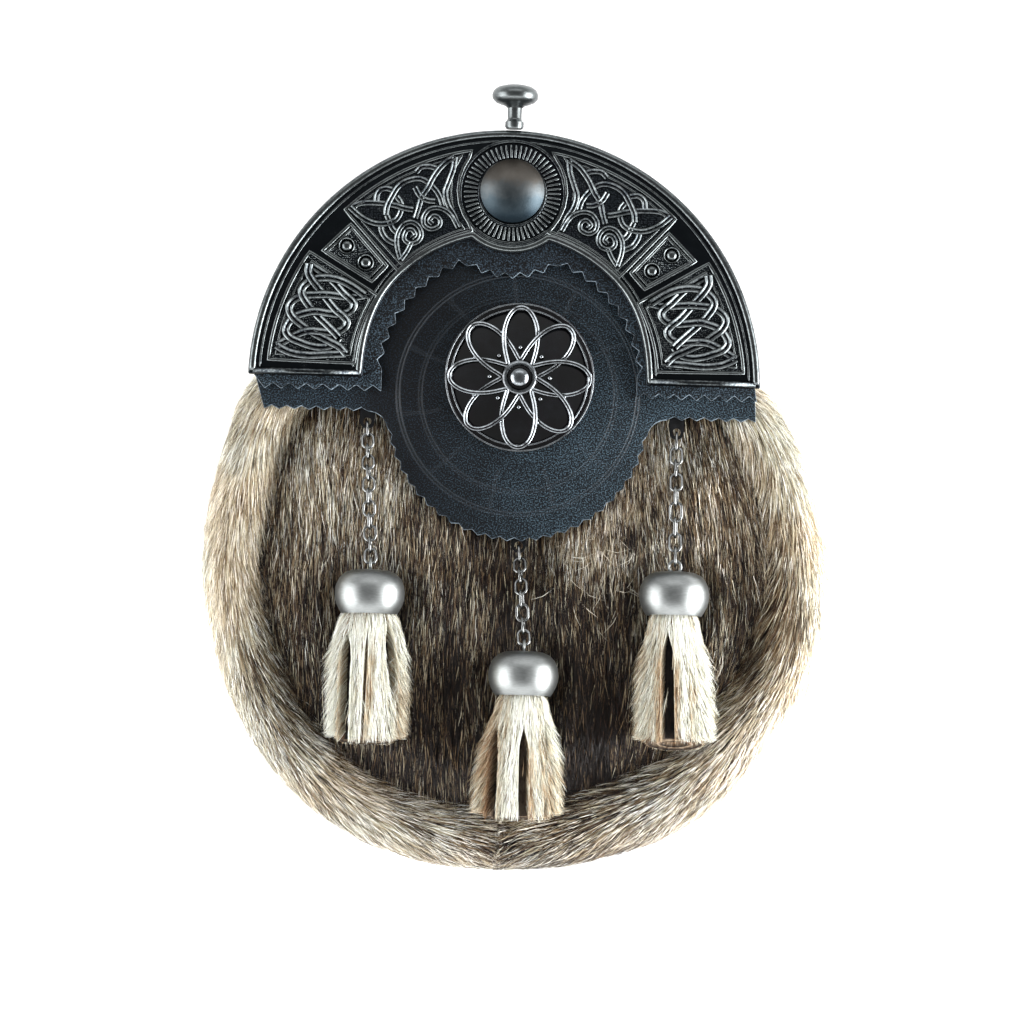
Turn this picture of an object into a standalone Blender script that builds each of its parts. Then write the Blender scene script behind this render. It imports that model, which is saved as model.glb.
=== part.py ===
"""Scottish dress sporran: a fur pouch with a cast cantle, a pinked leather flap, chains and tassels.

It lies on its back. +Y runs up the front, from the bottom of the fur to the knob, +Z comes out of
the front and the floor is z = 0. The origin is the middle of the footprint. Lengths are in metres.

The pouch is deeper at the bottom, so its front leans back towards the crown. All that is fixed to
the front is laid out in that leaning plane: u runs right, v up and w outwards, from the centre of
the cantle's arcs at the back face of the flap.
"""

import math
from collections import namedtuple

import bmesh
import bpy
import numpy as np
from mathutils import Matrix, Vector

# ---------------------------------------------------------------- driving sizes

GAP = 0.0003  # left between pieces that touch
FLAT = math.radians(0.05)  # faces closer than this to one plane are made one face

# The leaning front plane
CANTLE_X, CANTLE_Y = -0.0063, 0.0271  # centre of the cantle's arcs
FRONT_Z = 0.0240  # height of the plane there
LEAN = math.radians(4.0)
FRONT = Matrix.Translation((CANTLE_X, CANTLE_Y, FRONT_Z)) @ Matrix.Rotation(-LEAN, 4, "X")

# Fur pouch, laid out in polar form about its middle
POUCH_Y = CANTLE_Y - 0.0600
SEAM_ANGLE = -3.2  # the gusset's bottom seam, degrees from straight down, to the left
SHOULDER_ANGLE = 134.0  # where the gusset ends, under the cantle
HIDE = 0.0048  # skin and packed fur together
LIP = 0.0057  # thickness of the gusset's flat rear lip
LOCK, LOCKS_END = 0.0009, 117.0  # height of the fur locks on the roll, and where they stop
LOCKS_FROM = 3  # the first point of the section that the locks move
GUSSET_STEPS = 20

Station = namedtuple("Station", "angle left right roll_left roll_right crest")
POUCH = (  # radii of the outline, width of the roll and height of its crest, by angle from the seam
    Station(0, 0.0846, 0.0846, 0.0185, 0.0205, 0.0372),
    Station(20, 0.0872, 0.0849, 0.0185, 0.0210, 0.0374),
    Station(40, 0.0906, 0.0879, 0.0180, 0.0215, 0.0374),
    Station(60, 0.0921, 0.0898, 0.0172, 0.0210, 0.0368),
    Station(75, 0.0928, 0.0933, 0.0168, 0.0208, 0.0360),
    Station(90, 0.0945, 0.0945, 0.0165, 0.0200, 0.0345),
    Station(110, 0.0970, 0.0948, 0.0165, 0.0185, 0.0308),
    Station(126, 0.1010, 0.0958, 0.0160, 0.0170, 0.0226),
    Station(134, 0.1005, 0.0945, 0.0155, 0.0160, 0.0204),
)
RollPoint = namedtuple("RollPoint", "across up")
ROLL = (  # outer face of the roll: shares of its width and of its crest's height
    RollPoint(1.35, 0.00),
    RollPoint(0.62, 0.00),
    RollPoint(0.19, 0.09),
    RollPoint(0.02, 0.32),
    RollPoint(0.03, 0.62),
    RollPoint(0.20, 0.89),
    RollPoint(0.50, 1.00),
    RollPoint(0.79, 0.94),
    RollPoint(1.00, 0.80),
)

# Fur front panel
PANEL_TOP = CANTLE_Y - 0.0022
PANEL_ROWS, PANEL_COLUMNS = 14, 15
PILE = 0.0042  # how far the fur stands above the front plane
UNDER_LEATHER = -GAP - 0.0002
PILE_START, PILE_RUN = 0.0070, 0.0120  # from the flap's edge to where the pile rises, and its rise
CREASE_RUN = 0.0140  # the panel sinks to the crease over this width
PANEL_LOCK = 0.0008

# Back panel
BACK_Z, BACK_THICK = 0.0060, 0.0020
BACK_INSET = 0.0140  # from the pouch's outline
BACK_CROWN = 0.0735  # radius of its arch behind the cantle
Fold = namedtuple("Fold", "y rise")  # where the arch bends up towards the flap, and by how much
BACK_FOLDS = (Fold(0.0300, math.tan(math.radians(3.3))), Fold(0.0550, math.tan(math.radians(2.2))))

# Leathers, heights along w
FLAP_THICK = 0.0016
UNDERLAY_W, UNDERLAY_THICK = FLAP_THICK + GAP, 0.0014
FLAP_CROWN = 0.0752
DROP_U, DROP_V, DROP_R = 0.0044, -0.0071, 0.0396  # the flap's round drop
WING_V = -0.0089
WING_LEFT, WING_RIGHT = -0.0717, 0.0758
FILLET = 0.0058
PINK_PITCH, PINK_DEPTH = 0.0045, 0.0011
UNDERLAY_V = -0.0030
UNDERLAY_IN_U, UNDERLAY_IN_V, UNDERLAY_IN_R = 0.0015, 0.0006, 0.0384
UNDERLAY_DIP_R = 0.0262  # round the roundel, behind the cantle's dip
UNDERLAY_PITCH, UNDERLAY_DEPTH = 0.0048, 0.0018

# Cantle
CANTLE_W = UNDERLAY_W + UNDERLAY_THICK + GAP
CANTLE_THICK = 0.0018
CANTLE_R = 0.07665
CANTLE_IN_TOP, CANTLE_IN_END = 0.0450, 0.0424
CANTLE_END_V = 0.0010
ROUNDEL_U, ROUNDEL_V = 0.0008, 0.0583
DIP_R = 0.0188
RIM_R, RIM_INNER_R, FRAME_R, KNOT_R = 0.0017, 0.0011, 0.0008, 0.0009
DOME_R, DOME_RISE = 0.0096, 0.0042
REED_IN, REED_OUT, REEDS = 0.0106, 0.0142, 18
RING_R = 0.0156

Sector = namedtuple("Sector", "name inner outer start end")
SECTORS = (  # framed panels of the left half: radii, and degrees from the crown
    Sector("knot", 0.0462, 0.0708, 57.0, 85.0),
    Sector("boss", 0.0500, 0.0670, 45.8, 54.6),
)
SPIRAL_PANEL = Sector("spiral", 0.0470, 0.0708, 12.0, 44.0)
BOSSES = ((0.0545, 50.2), (0.0625, 50.2))  # radius and degrees

# Stud
STUD_U, STUD_W = 0.0008, CANTLE_W + 0.0022
KNOB_TOP = 0.0904

# Badge
BADGE_U, BADGE_V = 0.0046, 0.0024
BADGE_R, BADGE_BAND, BADGE_THICK = 0.0224, 0.0020, 0.0016
BACKING_R, BACKING_THICK = 0.0208, 0.0009
BADGE_W = FLAP_THICK + GAP + BACKING_THICK + GAP
ROSETTE_WIRE = 0.0009
LOOP_R, LOOP_SWING, LOOP_POINTS = 0.0132, 0.0079, 20  # a loop's mean radius and how far its lobes swing
LOOP_RAISED = 0.00015  # the second loop stands higher by this

# Chains, caps and tassels, one row each: places are (u, v)
Strand = namedtuple("Strand", "side tab_u tab_v cap_u cap_v links width wire")
STRANDS = (
    Strand("left", -0.0407, -0.0118, -0.0380, -0.0633, 12, 0.0042, 0.00072),
    Strand("right", 0.0522, -0.0124, 0.0524, -0.0612, 9, 0.0043, 0.00078),
    Strand("centre", 0.0058, -0.0478, 0.0083, -0.0862, 8, 0.0043, 0.00078),
)
LINK_PLAY = 0.00036  # slack between one link's wire and the next
TAB_LENGTH, TAB_WIDTH, TAB_THICK = 0.0095, 0.0044, 0.0012
TAB_HOLE_R = 0.0013
CAP_R, CAP_HEIGHT, CAP_MOUTH_R, CAP_RECESS = 0.0105, 0.0138, 0.0082, 0.0040
CAP_W = 0.0108  # height of a cap's axis above the front plane
EYE_R, EYE_WIRE, EYE_SEAT = 0.0018, 0.0007, 0.0012
CHAIN_W = 0.0072  # height of a chain's middle where it lies on the fur
LINK_TWIST = math.radians(14.0)
Tassel = namedtuple("Tassel", "side length top_width hem_width shift hem_w")
TASSELS = (
    Tassel("left", 0.0395, 0.0170, 0.0270, 0.0010, 0.0112),
    Tassel("right", 0.0398, 0.0160, 0.0262, 0.0012, 0.0110),
    Tassel("centre", 0.0378, 0.0150, 0.0305, -0.0008, 0.0128),
)
TASSEL_STRIPS, STRIP_GAP = 5, 0.0007
Dent = namedtuple("Dent", "u v radius depth")  # where something presses into the fur

# Strap fastening on the back
STRAP_X, STRAP_Y = 0.0350, 0.0120
TAB_BACK_WIDTH, TAB_BACK_LENGTH = 0.0160, 0.0200
TAB_BACK_Z, TAB_BACK_THICK = 0.0008, 0.0049
RING_WIRE, RING_BAR, RING_DEPTH = 0.0011, 0.0205, 0.0160

COLOURS = {  # base colour, roughness, metallic
    "fur": ((0.30, 0.24, 0.18), 0.90, 0.0),
    "tassel_fur": ((0.72, 0.66, 0.54), 0.90, 0.0),
    "leather": ((0.020, 0.024, 0.030), 0.55, 0.0),
    "blackened_metal": ((0.09, 0.09, 0.09), 0.32, 1.0),
    "pewter": ((0.48, 0.48, 0.47), 0.34, 1.0),
    "chain_metal": ((0.30, 0.30, 0.30), 0.25, 1.0),
    "badge_metal": ((0.62, 0.62, 0.62), 0.20, 1.0),
    "gloss_black": ((0.010, 0.010, 0.012), 0.12, 0.0),
}


# ---------------------------------------------------------------- small tools


def clear_scene():
    for item in list(bpy.data.objects):
        bpy.data.objects.remove(item, do_unlink=True)


def collection(name):
    made = bpy.data.collections.new(name)
    bpy.context.scene.collection.children.link(made)
    return made


def material(name):
    """The finish of one kind of piece, made once."""
    if name in bpy.data.materials:
        return bpy.data.materials[name]
    colour, roughness, metallic = COLOURS[name]
    made = bpy.data.materials.new(name)
    made.use_nodes = True
    shader = made.node_tree.nodes["Principled BSDF"]
    shader.inputs["Base Color"].default_value = (*colour, 1.0)
    shader.inputs["Roughness"].default_value = roughness
    shader.inputs["Metallic"].default_value = metallic
    return made


def add(name, data, finish, home, parent=None):
    """Put a mesh or curve in the scene as one named piece."""
    item = bpy.data.objects.new(name, data)
    home.objects.link(item)
    if finish:
        data.materials.clear()
        data.materials.append(material(finish))
    item.parent = parent
    return item


def from_bmesh(name, bm):
    """A mesh datablock from a closed bmesh, its faces turned outwards."""
    bmesh.ops.recalc_face_normals(bm, faces=bm.faces)
    mesh = bpy.data.meshes.new(name)
    bm.to_mesh(mesh)
    bm.free()
    return mesh


def as_mesh(name, data, place=None):
    """The closed mesh that a curve makes, with its caps welded on."""
    holder = bpy.data.objects.new(name + "_curve", data)
    bpy.context.scene.collection.objects.link(holder)
    bpy.context.view_layer.update()
    evaluated = holder.evaluated_get(bpy.context.evaluated_depsgraph_get())
    mesh = bpy.data.meshes.new_from_object(evaluated)
    bpy.data.objects.remove(holder, do_unlink=True)
    mesh.name = name
    bm = bmesh.new()
    bm.from_mesh(mesh)
    bpy.data.meshes.remove(mesh)
    bmesh.ops.remove_doubles(bm, verts=bm.verts, dist=1e-6)
    if place is not None:
        bmesh.ops.transform(bm, matrix=place, verts=bm.verts)
    return from_bmesh(name, bm)


def flat_plate(name, loops, low, thickness):
    """A plate between heights low and low + thickness, from closed loops of flat points."""
    data = bpy.data.curves.new(name, "CURVE")
    data.dimensions = "2D"
    data.fill_mode = "BOTH"
    data.extrude = thickness / 2
    for loop in loops:
        spline = data.splines.new("POLY")
        spline.points.add(len(loop) - 1)
        for point, (u, v) in zip(spline.points, loop):
            point.co = (u, v, 0.0, 1.0)
        spline.use_cyclic_u = True
    mesh = as_mesh(name, data, Matrix.Translation((0, 0, low + thickness / 2)))
    bm = bmesh.new()
    bm.from_mesh(mesh)
    bmesh.ops.dissolve_limit(bm, angle_limit=FLAT, verts=bm.verts, edges=bm.edges)
    bm.to_mesh(mesh)
    bm.free()
    return mesh


def wires(name, lines, radius, resolution=0):
    """Round wires along lines of points; a line is (points, closed)."""
    data = bpy.data.curves.new(name, "CURVE")
    data.dimensions = "3D"
    data.twist_mode = "Z_UP"
    data.fill_mode = "FULL"
    data.bevel_depth = radius
    data.bevel_resolution = resolution
    data.use_fill_caps = True
    for points, closed in lines:
        spline = data.splines.new("POLY")
        spline.points.add(len(points) - 1)
        for point, place in zip(spline.points, points):
            point.co = (*place, 1.0)
        spline.use_cyclic_u = closed
    return as_mesh(name, data)


def turned(name, profile, steps):
    """A body turned about Z from (radius, height) points that run down its outer side."""
    bm = bmesh.new()
    verts = [bm.verts.new((r, 0.0, z)) for r, z in profile]
    for first, second in zip(verts, verts[1:]):
        bm.edges.new((first, second))
    mesh = bpy.data.meshes.new(name)
    bm.to_mesh(mesh)
    bm.free()
    item = bpy.data.objects.new(name + "_profile", mesh)
    bpy.context.scene.collection.objects.link(item)
    screw = item.modifiers.new("turn", "SCREW")
    screw.axis = "Z"
    screw.steps = screw.render_steps = steps
    screw.use_merge_vertices = True
    screw.merge_threshold = 1e-5
    bpy.context.view_layer.update()
    evaluated = item.evaluated_get(bpy.context.evaluated_depsgraph_get())
    result = bpy.data.meshes.new_from_object(evaluated)
    bpy.data.objects.remove(item, do_unlink=True)
    bm = bmesh.new()
    bm.from_mesh(result)
    bpy.data.meshes.remove(result)
    bmesh.ops.remove_doubles(bm, verts=bm.verts, dist=1e-6)
    return from_bmesh(name, bm)


def ring_mesh(length, width, wire):
    """A link or eye: a round ring whose halves are pulled apart along Y."""
    bpy.ops.mesh.primitive_torus_add(
        major_segments=10, minor_segments=5, major_radius=(width - wire) / 2, minor_radius=wire / 2
    )
    holder = bpy.context.object
    mesh = holder.data
    bpy.data.objects.remove(holder, do_unlink=True)
    mesh.transform(Matrix.Rotation(math.radians(18.0), 4, "Z"))
    for vertex in mesh.vertices:
        vertex.co.y += math.copysign((length - width) / 2, vertex.co.y)
    return mesh


def fuse(item, mesh, cutters):
    """Join one more mesh into a piece by Boolean union; it stays as a hidden guide."""
    guide = add(f"{item.name}_fused", mesh, None, cutters, item.parent)
    guide.hide_render = True
    guide.display_type = "WIRE"
    union = item.modifiers.new("fused", "BOOLEAN")
    union.operation = "UNION"
    union.solver = "EXACT"
    union.use_self = True
    union.object = guide
    flat = item.modifiers.new("flat_faces", "DECIMATE")
    flat.decimate_type = "DISSOLVE"
    flat.angle_limit = FLAT


def joined(name, meshes):
    """Several meshes as one datablock."""
    bm = bmesh.new()
    for mesh in meshes:
        bm.from_mesh(mesh)
        bpy.data.meshes.remove(mesh)
    result = bpy.data.meshes.new(name)
    bm.to_mesh(result)
    bm.free()
    return result


def smoothly(low, high, value):
    """0 below low, 1 above high, eased between."""
    share = min(max((value - low) / (high - low), 0.0), 1.0)
    return share * share * (3 - 2 * share)


def arc(centre, radius, start, end, count):
    """Points of an arc; degrees run anticlockwise from +u, ends included."""
    turns = np.radians(np.linspace(start, end, count))
    return [(centre[0] + radius * math.cos(t), centre[1] + radius * math.sin(t)) for t in turns]


def from_crown(radius, degrees, side=-1):
    """A point of the cantle at an angle from the crown; side -1 is the left half."""
    turn = math.radians(degrees)
    return (side * radius * math.sin(turn), radius * math.cos(turn))


def lifted(points, w):
    return [(u, v, w) for u, v in points]


def pinked(points, pitch, depth, inward):
    """Cut a zigzag into a run of points; inward is +1 where the piece lies left of the run."""
    run = [Vector(p) for p in points]
    lengths = np.cumsum([0.0] + [(b - a).length for a, b in zip(run, run[1:])])
    teeth = max(1, round(lengths[-1] / pitch))
    at = np.linspace(0.0, lengths[-1], 2 * teeth + 1)
    us = np.interp(at, lengths, [p.x for p in run])
    vs = np.interp(at, lengths, [p.y for p in run])
    cut = []
    for k, (u, v) in enumerate(zip(us, vs)):
        before, after = max(k - 1, 0), min(k + 1, len(at) - 1)
        along = Vector((us[after] - us[before], vs[after] - vs[before])).normalized()
        step = depth * inward * (k % 2)
        cut.append((u - along.y * step, v + along.x * step))
    return cut


# ---------------------------------------------------------------- the fur pouch


def station(angle):
    """Outline radius, roll width and crest height at an angle from straight down, left negative.

    Beyond the shoulders they stay as they are there.
    """
    angles = [row.angle for row in POUCH]
    left = angle < 0
    columns = [
        [row.left if left else row.right for row in POUCH],
        [row.roll_left if left else row.roll_right for row in POUCH],
        [row.crest for row in POUCH],
    ]
    return [hermite(angles, values, min(abs(angle), SHOULDER_ANGLE)) for values in columns]


def hermite(xs, ys, x):
    """Smooth curve through a table's column, flat at its first row."""
    slopes = np.gradient(ys, xs)
    slopes[0] = 0.0
    k = min(max(int(np.searchsorted(xs, x)) - 1, 0), len(xs) - 2)
    wide = xs[k + 1] - xs[k]
    t = (x - xs[k]) / wide
    return float(
        (1 + 2 * t) * (1 - t) ** 2 * ys[k]
        + t * (1 - t) ** 2 * wide * slopes[k]
        + t * t * (3 - 2 * t) * ys[k + 1]
        + t * t * (t - 1) * wide * slopes[k + 1]
    )


def pouch_point(angle, inset, z=0.0):
    """A point of the pouch at an angle and a distance inside its outline."""
    turn = math.radians(angle)
    r = station(angle)[0] - inset
    return Vector((r * math.sin(turn), POUCH_Y - r * math.cos(turn), z))


def roll_section(angle, lock):
    """The gusset's wall at one station: outer points, then inner points back again."""
    _, width, crest = station(angle)
    outer = [Vector((p.across * width, p.up * crest)) for p in ROLL]
    inner = []
    for k, point in enumerate(outer):
        before, after = outer[max(k - 1, 0)], outer[min(k + 1, len(outer) - 1)]
        along = (after - before).normalized()
        inner.append(point + Vector((along.y, -along.x)) * HIDE)
    inner[0] = outer[0] + Vector((0, LIP))
    inner[1] = outer[1] + Vector((0.0005, LIP))
    inner[-1] = outer[-1] + Vector((0, -HIDE))
    raised = list(outer)
    for k in range(LOCKS_FROM, len(outer) - 1):
        along = (outer[k + 1] - outer[k - 1]).normalized()
        raised[k] = outer[k] - Vector((along.y, -along.x)) * lock
    return raised + inner[::-1]


def build_gusset(name, start, end, home):
    """One half of the padded fur roll, lofted round the pouch."""
    bm = bmesh.new()
    rings = []
    for k, angle in enumerate(np.linspace(start, end, GUSSET_STEPS)):
        plain = k == 0 or abs(angle) > LOCKS_END
        lock = 0.0 if plain else LOCK * (1 if k % 2 else -1)
        ring = [bm.verts.new(pouch_point(angle, p.x, p.y)) for p in roll_section(angle, lock)]
        rings.append(ring)
    for low, high in zip(rings, rings[1:]):
        for k in range(len(low)):
            after = (k + 1) % len(low)
            bm.faces.new((low[k], low[after], high[after], high[k]))
    bm.faces.new(rings[0])
    bm.faces.new(rings[-1])
    return add(name, from_bmesh(name, bm), "fur", home)


def plane_height(y):
    """Height of the leaning front plane at a world y."""
    return FRONT_Z - (y - CANTLE_Y) * math.tan(LEAN)


def outside_flap(u, v):
    """Distance from the flap's drop and wings, 0 on the leather."""
    drop = math.hypot(u - DROP_U, v - DROP_V) - DROP_R
    aside = max(WING_LEFT - u, u - WING_RIGHT, 0.0)
    wing = math.hypot(aside, max(WING_V - v, 0.0))
    return max(min(drop, wing), 0.0)


def dents():
    """Hollows that the caps, tassels and leather tabs press into the front fur."""
    made = []
    for row in STRANDS:
        made.append(Dent(row.tab_u, row.tab_v - 0.0005, 0.0160, 0.0034))
        made.append(Dent(row.cap_u, row.cap_v, 0.0170, 0.0052))
        made.append(Dent(row.cap_u, row.cap_v - 0.0150, 0.0140, 0.0020))
    return made


def crease_side(y, side, crease):
    """x of the panel's edge at a height."""
    ys, xs = crease[side]
    return float(np.interp(y, ys, xs))


def build_front_panel(home):
    """Leather and fur of the front: a thin body with its pile in staggered locks."""
    crease = {}
    for side in (-1, 1):
        ring = [
            pouch_point(side * a, station(side * a)[1] + GAP + 0.0004 + 0.0006 * smoothly(95.0, 130.0, a))
            for a in np.linspace(0.5, SHOULDER_ANGLE + 12.0, 90)
        ]
        crease[side] = ([p.y for p in ring], [p.x for p in ring])
    bottom = max(crease[-1][0][0], crease[1][0][0])
    hollows = dents()
    bm = bmesh.new()
    rows = []
    for row in range(PANEL_ROWS + 1):
        t = row / PANEL_ROWS
        y = bottom + (PANEL_TOP - bottom) * (0.6 * (1 - math.cos(math.pi / 2 * t)) + 0.4 * t)
        low, high = crease_side(y, -1, crease), crease_side(y, 1, crease)
        line = []
        for column in range(PANEL_COLUMNS + 1):
            x = low + (high - low) * column / PANEL_COLUMNS
            rim = row == 0 or column in (0, PANEL_COLUMNS)
            line.append(bm.verts.new((x, y, panel_height(x, y, row, column, rim, hollows))))
        rows.append(line)
    for low, high in zip(rows, rows[1:]):
        for column in range(PANEL_COLUMNS):
            bm.faces.new((low[column], low[column + 1], high[column + 1], high[column]))
    made = bmesh.ops.extrude_face_region(bm, geom=list(bm.faces), use_keep_orig=True)
    for item in made["geom"]:
        if isinstance(item, bmesh.types.BMVert):
            item.co.z -= HIDE - 0.0003
    return add("fur_front_panel", from_bmesh("fur_front_panel", bm), "fur", home)


def panel_height(x, y, row, column, rim, hollows):
    """Height of the front fur at a grid point."""
    u, v = x - CANTLE_X, y - CANTLE_Y
    angle = math.degrees(math.atan2(x, POUCH_Y - y))
    angle = min(max(angle, -SHOULDER_ANGLE), SHOULDER_ANGLE)
    radius, width, crest = station(angle)
    edge = radius - width - math.hypot(x, y - POUCH_Y)
    rise = smoothly(PILE_START, PILE_START + PILE_RUN, outside_flap(u, v))
    top = UNDER_LEATHER + (PILE - UNDER_LEATHER) * rise
    for dent in hollows:
        near = 1 - smoothly(dent.radius * 0.55, dent.radius, math.hypot(u - dent.u, v - dent.v))
        top -= dent.depth * near
    inside = smoothly(0.0, CREASE_RUN, edge)
    z = crest * ROLL[-1].up * (1 - inside) + (plane_height(y) + top) * inside
    if not rim:
        ridge = 1.0 if column % 2 else -1.0
        tip = 1.0 if (row + 2 * (column % 4 // 2)) % 4 else -0.6
        z += PANEL_LOCK * rise * inside * (ridge + tip) / 2
    return z


def build_back_panel(home):
    """Stiff rear wall: the pouch's shape below, an arch behind the cantle above."""
    stop = SHOULDER_ANGLE + 1.5
    lower = [
        pouch_point(a, BACK_INSET).to_2d() for a in np.linspace(-SHOULDER_ANGLE, SHOULDER_ANGLE, 28)
    ]
    right_step = shoulder_step(1, stop)
    left_step = shoulder_step(-1, stop)
    crown = arc((CANTLE_X, CANTLE_Y), BACK_CROWN, 14.0, 166.0, 22)
    loop = [tuple(p) for p in lower] + right_step + crown + left_step
    bm = bmesh.new()
    bm.from_mesh(flat_plate("back_panel", [loop], BACK_Z, BACK_THICK))
    for fold in BACK_FOLDS:
        everything = list(bm.verts) + list(bm.edges) + list(bm.faces)
        bmesh.ops.bisect_plane(
            bm, geom=everything, dist=1e-6, plane_co=(0.0, fold.y, 0.0), plane_no=(0.0, 1.0, 0.0)
        )
    for vertex in bm.verts:
        for fold in BACK_FOLDS:
            vertex.co.z += max(vertex.co.y - fold.y, 0.0) * fold.rise
    return add("back_panel", from_bmesh("back_panel", bm), "leather", home)


def shoulder_step(side, stop):
    """The back panel's step round the gusset's end, inner corner and outer corner."""
    inner = Vector(pouch_point(side * SHOULDER_ANGLE, BACK_INSET + 0.0060).to_2d())
    turn = math.radians(stop)
    r = station(side * SHOULDER_ANGLE)[0]
    inside, outside = r - BACK_INSET - 0.0060, r - 0.0030
    points = [
        (side * reach * math.sin(turn), POUCH_Y - reach * math.cos(turn))
        for reach in (inside, outside)
    ]
    run = [tuple(inner), *points]
    return run if side > 0 else run[::-1]


# ---------------------------------------------------------------- leathers


def build_flap(home, plane):
    """Black flap: arch behind the cantle, wings under its ends and a round pinked drop."""
    centre = (DROP_U, DROP_V)
    # The fillet's centre keeps its radius from both the wing's edge and the drop.
    fillet_v = WING_V - FILLET
    reach = math.sqrt((DROP_R + FILLET) ** 2 - (fillet_v - DROP_V) ** 2)
    meet = math.degrees(math.atan2(fillet_v - DROP_V, reach))  # below +u, negative
    left_fillet = arc((DROP_U - reach, fillet_v), FILLET, 90.0, -meet, 5)
    right_fillet = arc((DROP_U + reach, fillet_v), FILLET, 180.0 + meet, 90.0, 5)
    drop = arc(centre, DROP_R, 180.0 - meet, 360.0 + meet, 60)
    left_wing = [(WING_LEFT, WING_V), (left_fillet[0][0], WING_V)]
    right_wing = [(right_fillet[-1][0], WING_V), (WING_RIGHT, WING_V)]
    edge = pinked(left_wing, PINK_PITCH, PINK_DEPTH, 1)
    edge += left_fillet[1:-1]
    edge += pinked(drop, PINK_PITCH, PINK_DEPTH, 1)
    edge += right_fillet[1:-1]
    edge += pinked(right_wing, PINK_PITCH, PINK_DEPTH, 1)
    crown = arc((0.0, 0.0), FLAP_CROWN, 2.0, 178.0, 28)
    mesh = flat_plate("leather_flap", [edge + crown], 0.0, FLAP_THICK)
    return add("leather_flap", mesh, "leather", home, plane)


def build_underlay(home, plane):
    """Smaller leather between cantle and flap; its pinked edge shows inside the arch."""
    inner = arc((UNDERLAY_IN_U, UNDERLAY_IN_V), UNDERLAY_IN_R, 5.0, 175.0, 90)
    dip = (ROUNDEL_U, ROUNDEL_V)
    shaped = []
    for u, v in inner:
        away = Vector((u - dip[0], v - dip[1]))
        if away.length < UNDERLAY_DIP_R:
            away = away.normalized() * UNDERLAY_DIP_R
            u, v = dip[0] + away.x, dip[1] + away.y
        shaped.append((u, v))
    left_in, right_in = shaped[-1][0], shaped[0][0]
    tooth = (UNDERLAY_PITCH, UNDERLAY_DEPTH)
    edge = pinked([(WING_LEFT, UNDERLAY_V), (left_in, UNDERLAY_V)], *tooth, 1)
    edge += pinked(shaped[::-1], *tooth, 1)
    edge += pinked([(right_in, UNDERLAY_V), (WING_RIGHT, UNDERLAY_V)], *tooth, 1)
    crown = arc((0.0, 0.0), FLAP_CROWN, 1.0, 179.0, 28)
    mesh = flat_plate("leather_underlay", [edge + crown], UNDERLAY_W, UNDERLAY_THICK)
    return add("leather_underlay", mesh, "leather", home, plane)


# ---------------------------------------------------------------- cantle


def cantle_inner_edge(inset=0.0, count=28):
    """The inner edge from the left end over the dip to the right end, moved into the metal."""
    edge = []
    for degrees in np.linspace(-89.0, 89.0, count):
        share = smoothly(45.0, 88.0, abs(degrees))
        r = CANTLE_IN_TOP + (CANTLE_IN_END - CANTLE_IN_TOP) * share + inset
        u, v = from_crown(r, degrees, 1)
        away = Vector((u - ROUNDEL_U, v - ROUNDEL_V))
        if away.length < DIP_R - inset:
            away = away.normalized() * (DIP_R - inset)
            u, v = ROUNDEL_U + away.x, ROUNDEL_V + away.y
        edge.append((u, max(v, CANTLE_END_V + inset)))
    return edge


def sector_outline(sector, side, steps=3):
    """The frame line of a panel between two radii and two angles."""
    outer = [from_crown(sector.outer, a, side) for a in np.linspace(sector.start, sector.end, steps)]
    inner = [from_crown(sector.inner, a, side) for a in np.linspace(sector.end, sector.start, steps)]
    return outer + inner


def spiral_panel_outline(side, grow=0.0):
    """The panel beside the roundel: a sector whose near end is hollowed round the ring."""
    p = SPIRAL_PANEL
    outer = [from_crown(p.outer - grow, a, side) for a in np.linspace(p.start, p.end, 5)]
    inner = [from_crown(p.inner + grow, a, side) for a in np.linspace(p.end, p.start + 6, 4)]
    centre = (side * abs(ROUNDEL_U) if side > 0 else ROUNDEL_U, ROUNDEL_V)
    sweep = (-48.0, 0.0, 46.0) if side > 0 else (228.0, 180.0, 134.0)
    near = [arc(centre, DIP_R + 0.0004 + grow, a, a, 1)[0] for a in sweep]
    return outer + inner + near


def plait_lines(side, w):
    """Two strands that swing across the end panel and cross each other."""
    panel = SECTORS[0]
    middle, swing = (panel.inner + panel.outer) / 2, (panel.outer - panel.inner) / 2 - 0.0030
    lines = []
    for strand in range(2):
        points = []
        for t in np.linspace(0.0, 1.0, 9):
            angle = panel.start + 3.0 + (panel.end - panel.start - 6.0) * t
            r = middle + swing * math.sin(2 * math.pi * (t * 1.25 + strand / 2 + 0.05))
            points.append((*from_crown(r, angle, side), w))
        lines.append((points, False))
    return lines


def spiral_lines(side, w):
    """Two spirals with leaf loops above them, in the panel beside the roundel."""
    lines = []
    for degrees, hand in ((22.0, 1), (37.0, -1)):
        centre = from_crown(0.0528, degrees, side)
        points = []
        for t in np.linspace(0.0, 1.0, 8):
            turn = hand * side * (math.radians(-120) + t * 2.8 * math.pi)
            r = 0.0042 - 0.0032 * t
            points.append((centre[0] + r * math.cos(turn), centre[1] + r * math.sin(turn), w))
        lines.append((points, False))
    for degrees, r, lean in ((24.0, 0.0640, -25.0), (36.0, 0.0648, 15.0)):
        centre = from_crown(r, degrees, side)
        points = []
        for t in np.linspace(0.0, 2 * math.pi, 6, endpoint=False):
            along, across = 0.0052 * math.cos(t), 0.0026 * math.sin(t)
            turn = math.radians(90 - side * (degrees + lean))
            points.append((
                centre[0] + along * math.cos(turn) - across * math.sin(turn),
                centre[1] + along * math.sin(turn) + across * math.cos(turn),
                w,
            ))
        lines.append((points, True))
    return lines


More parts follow.
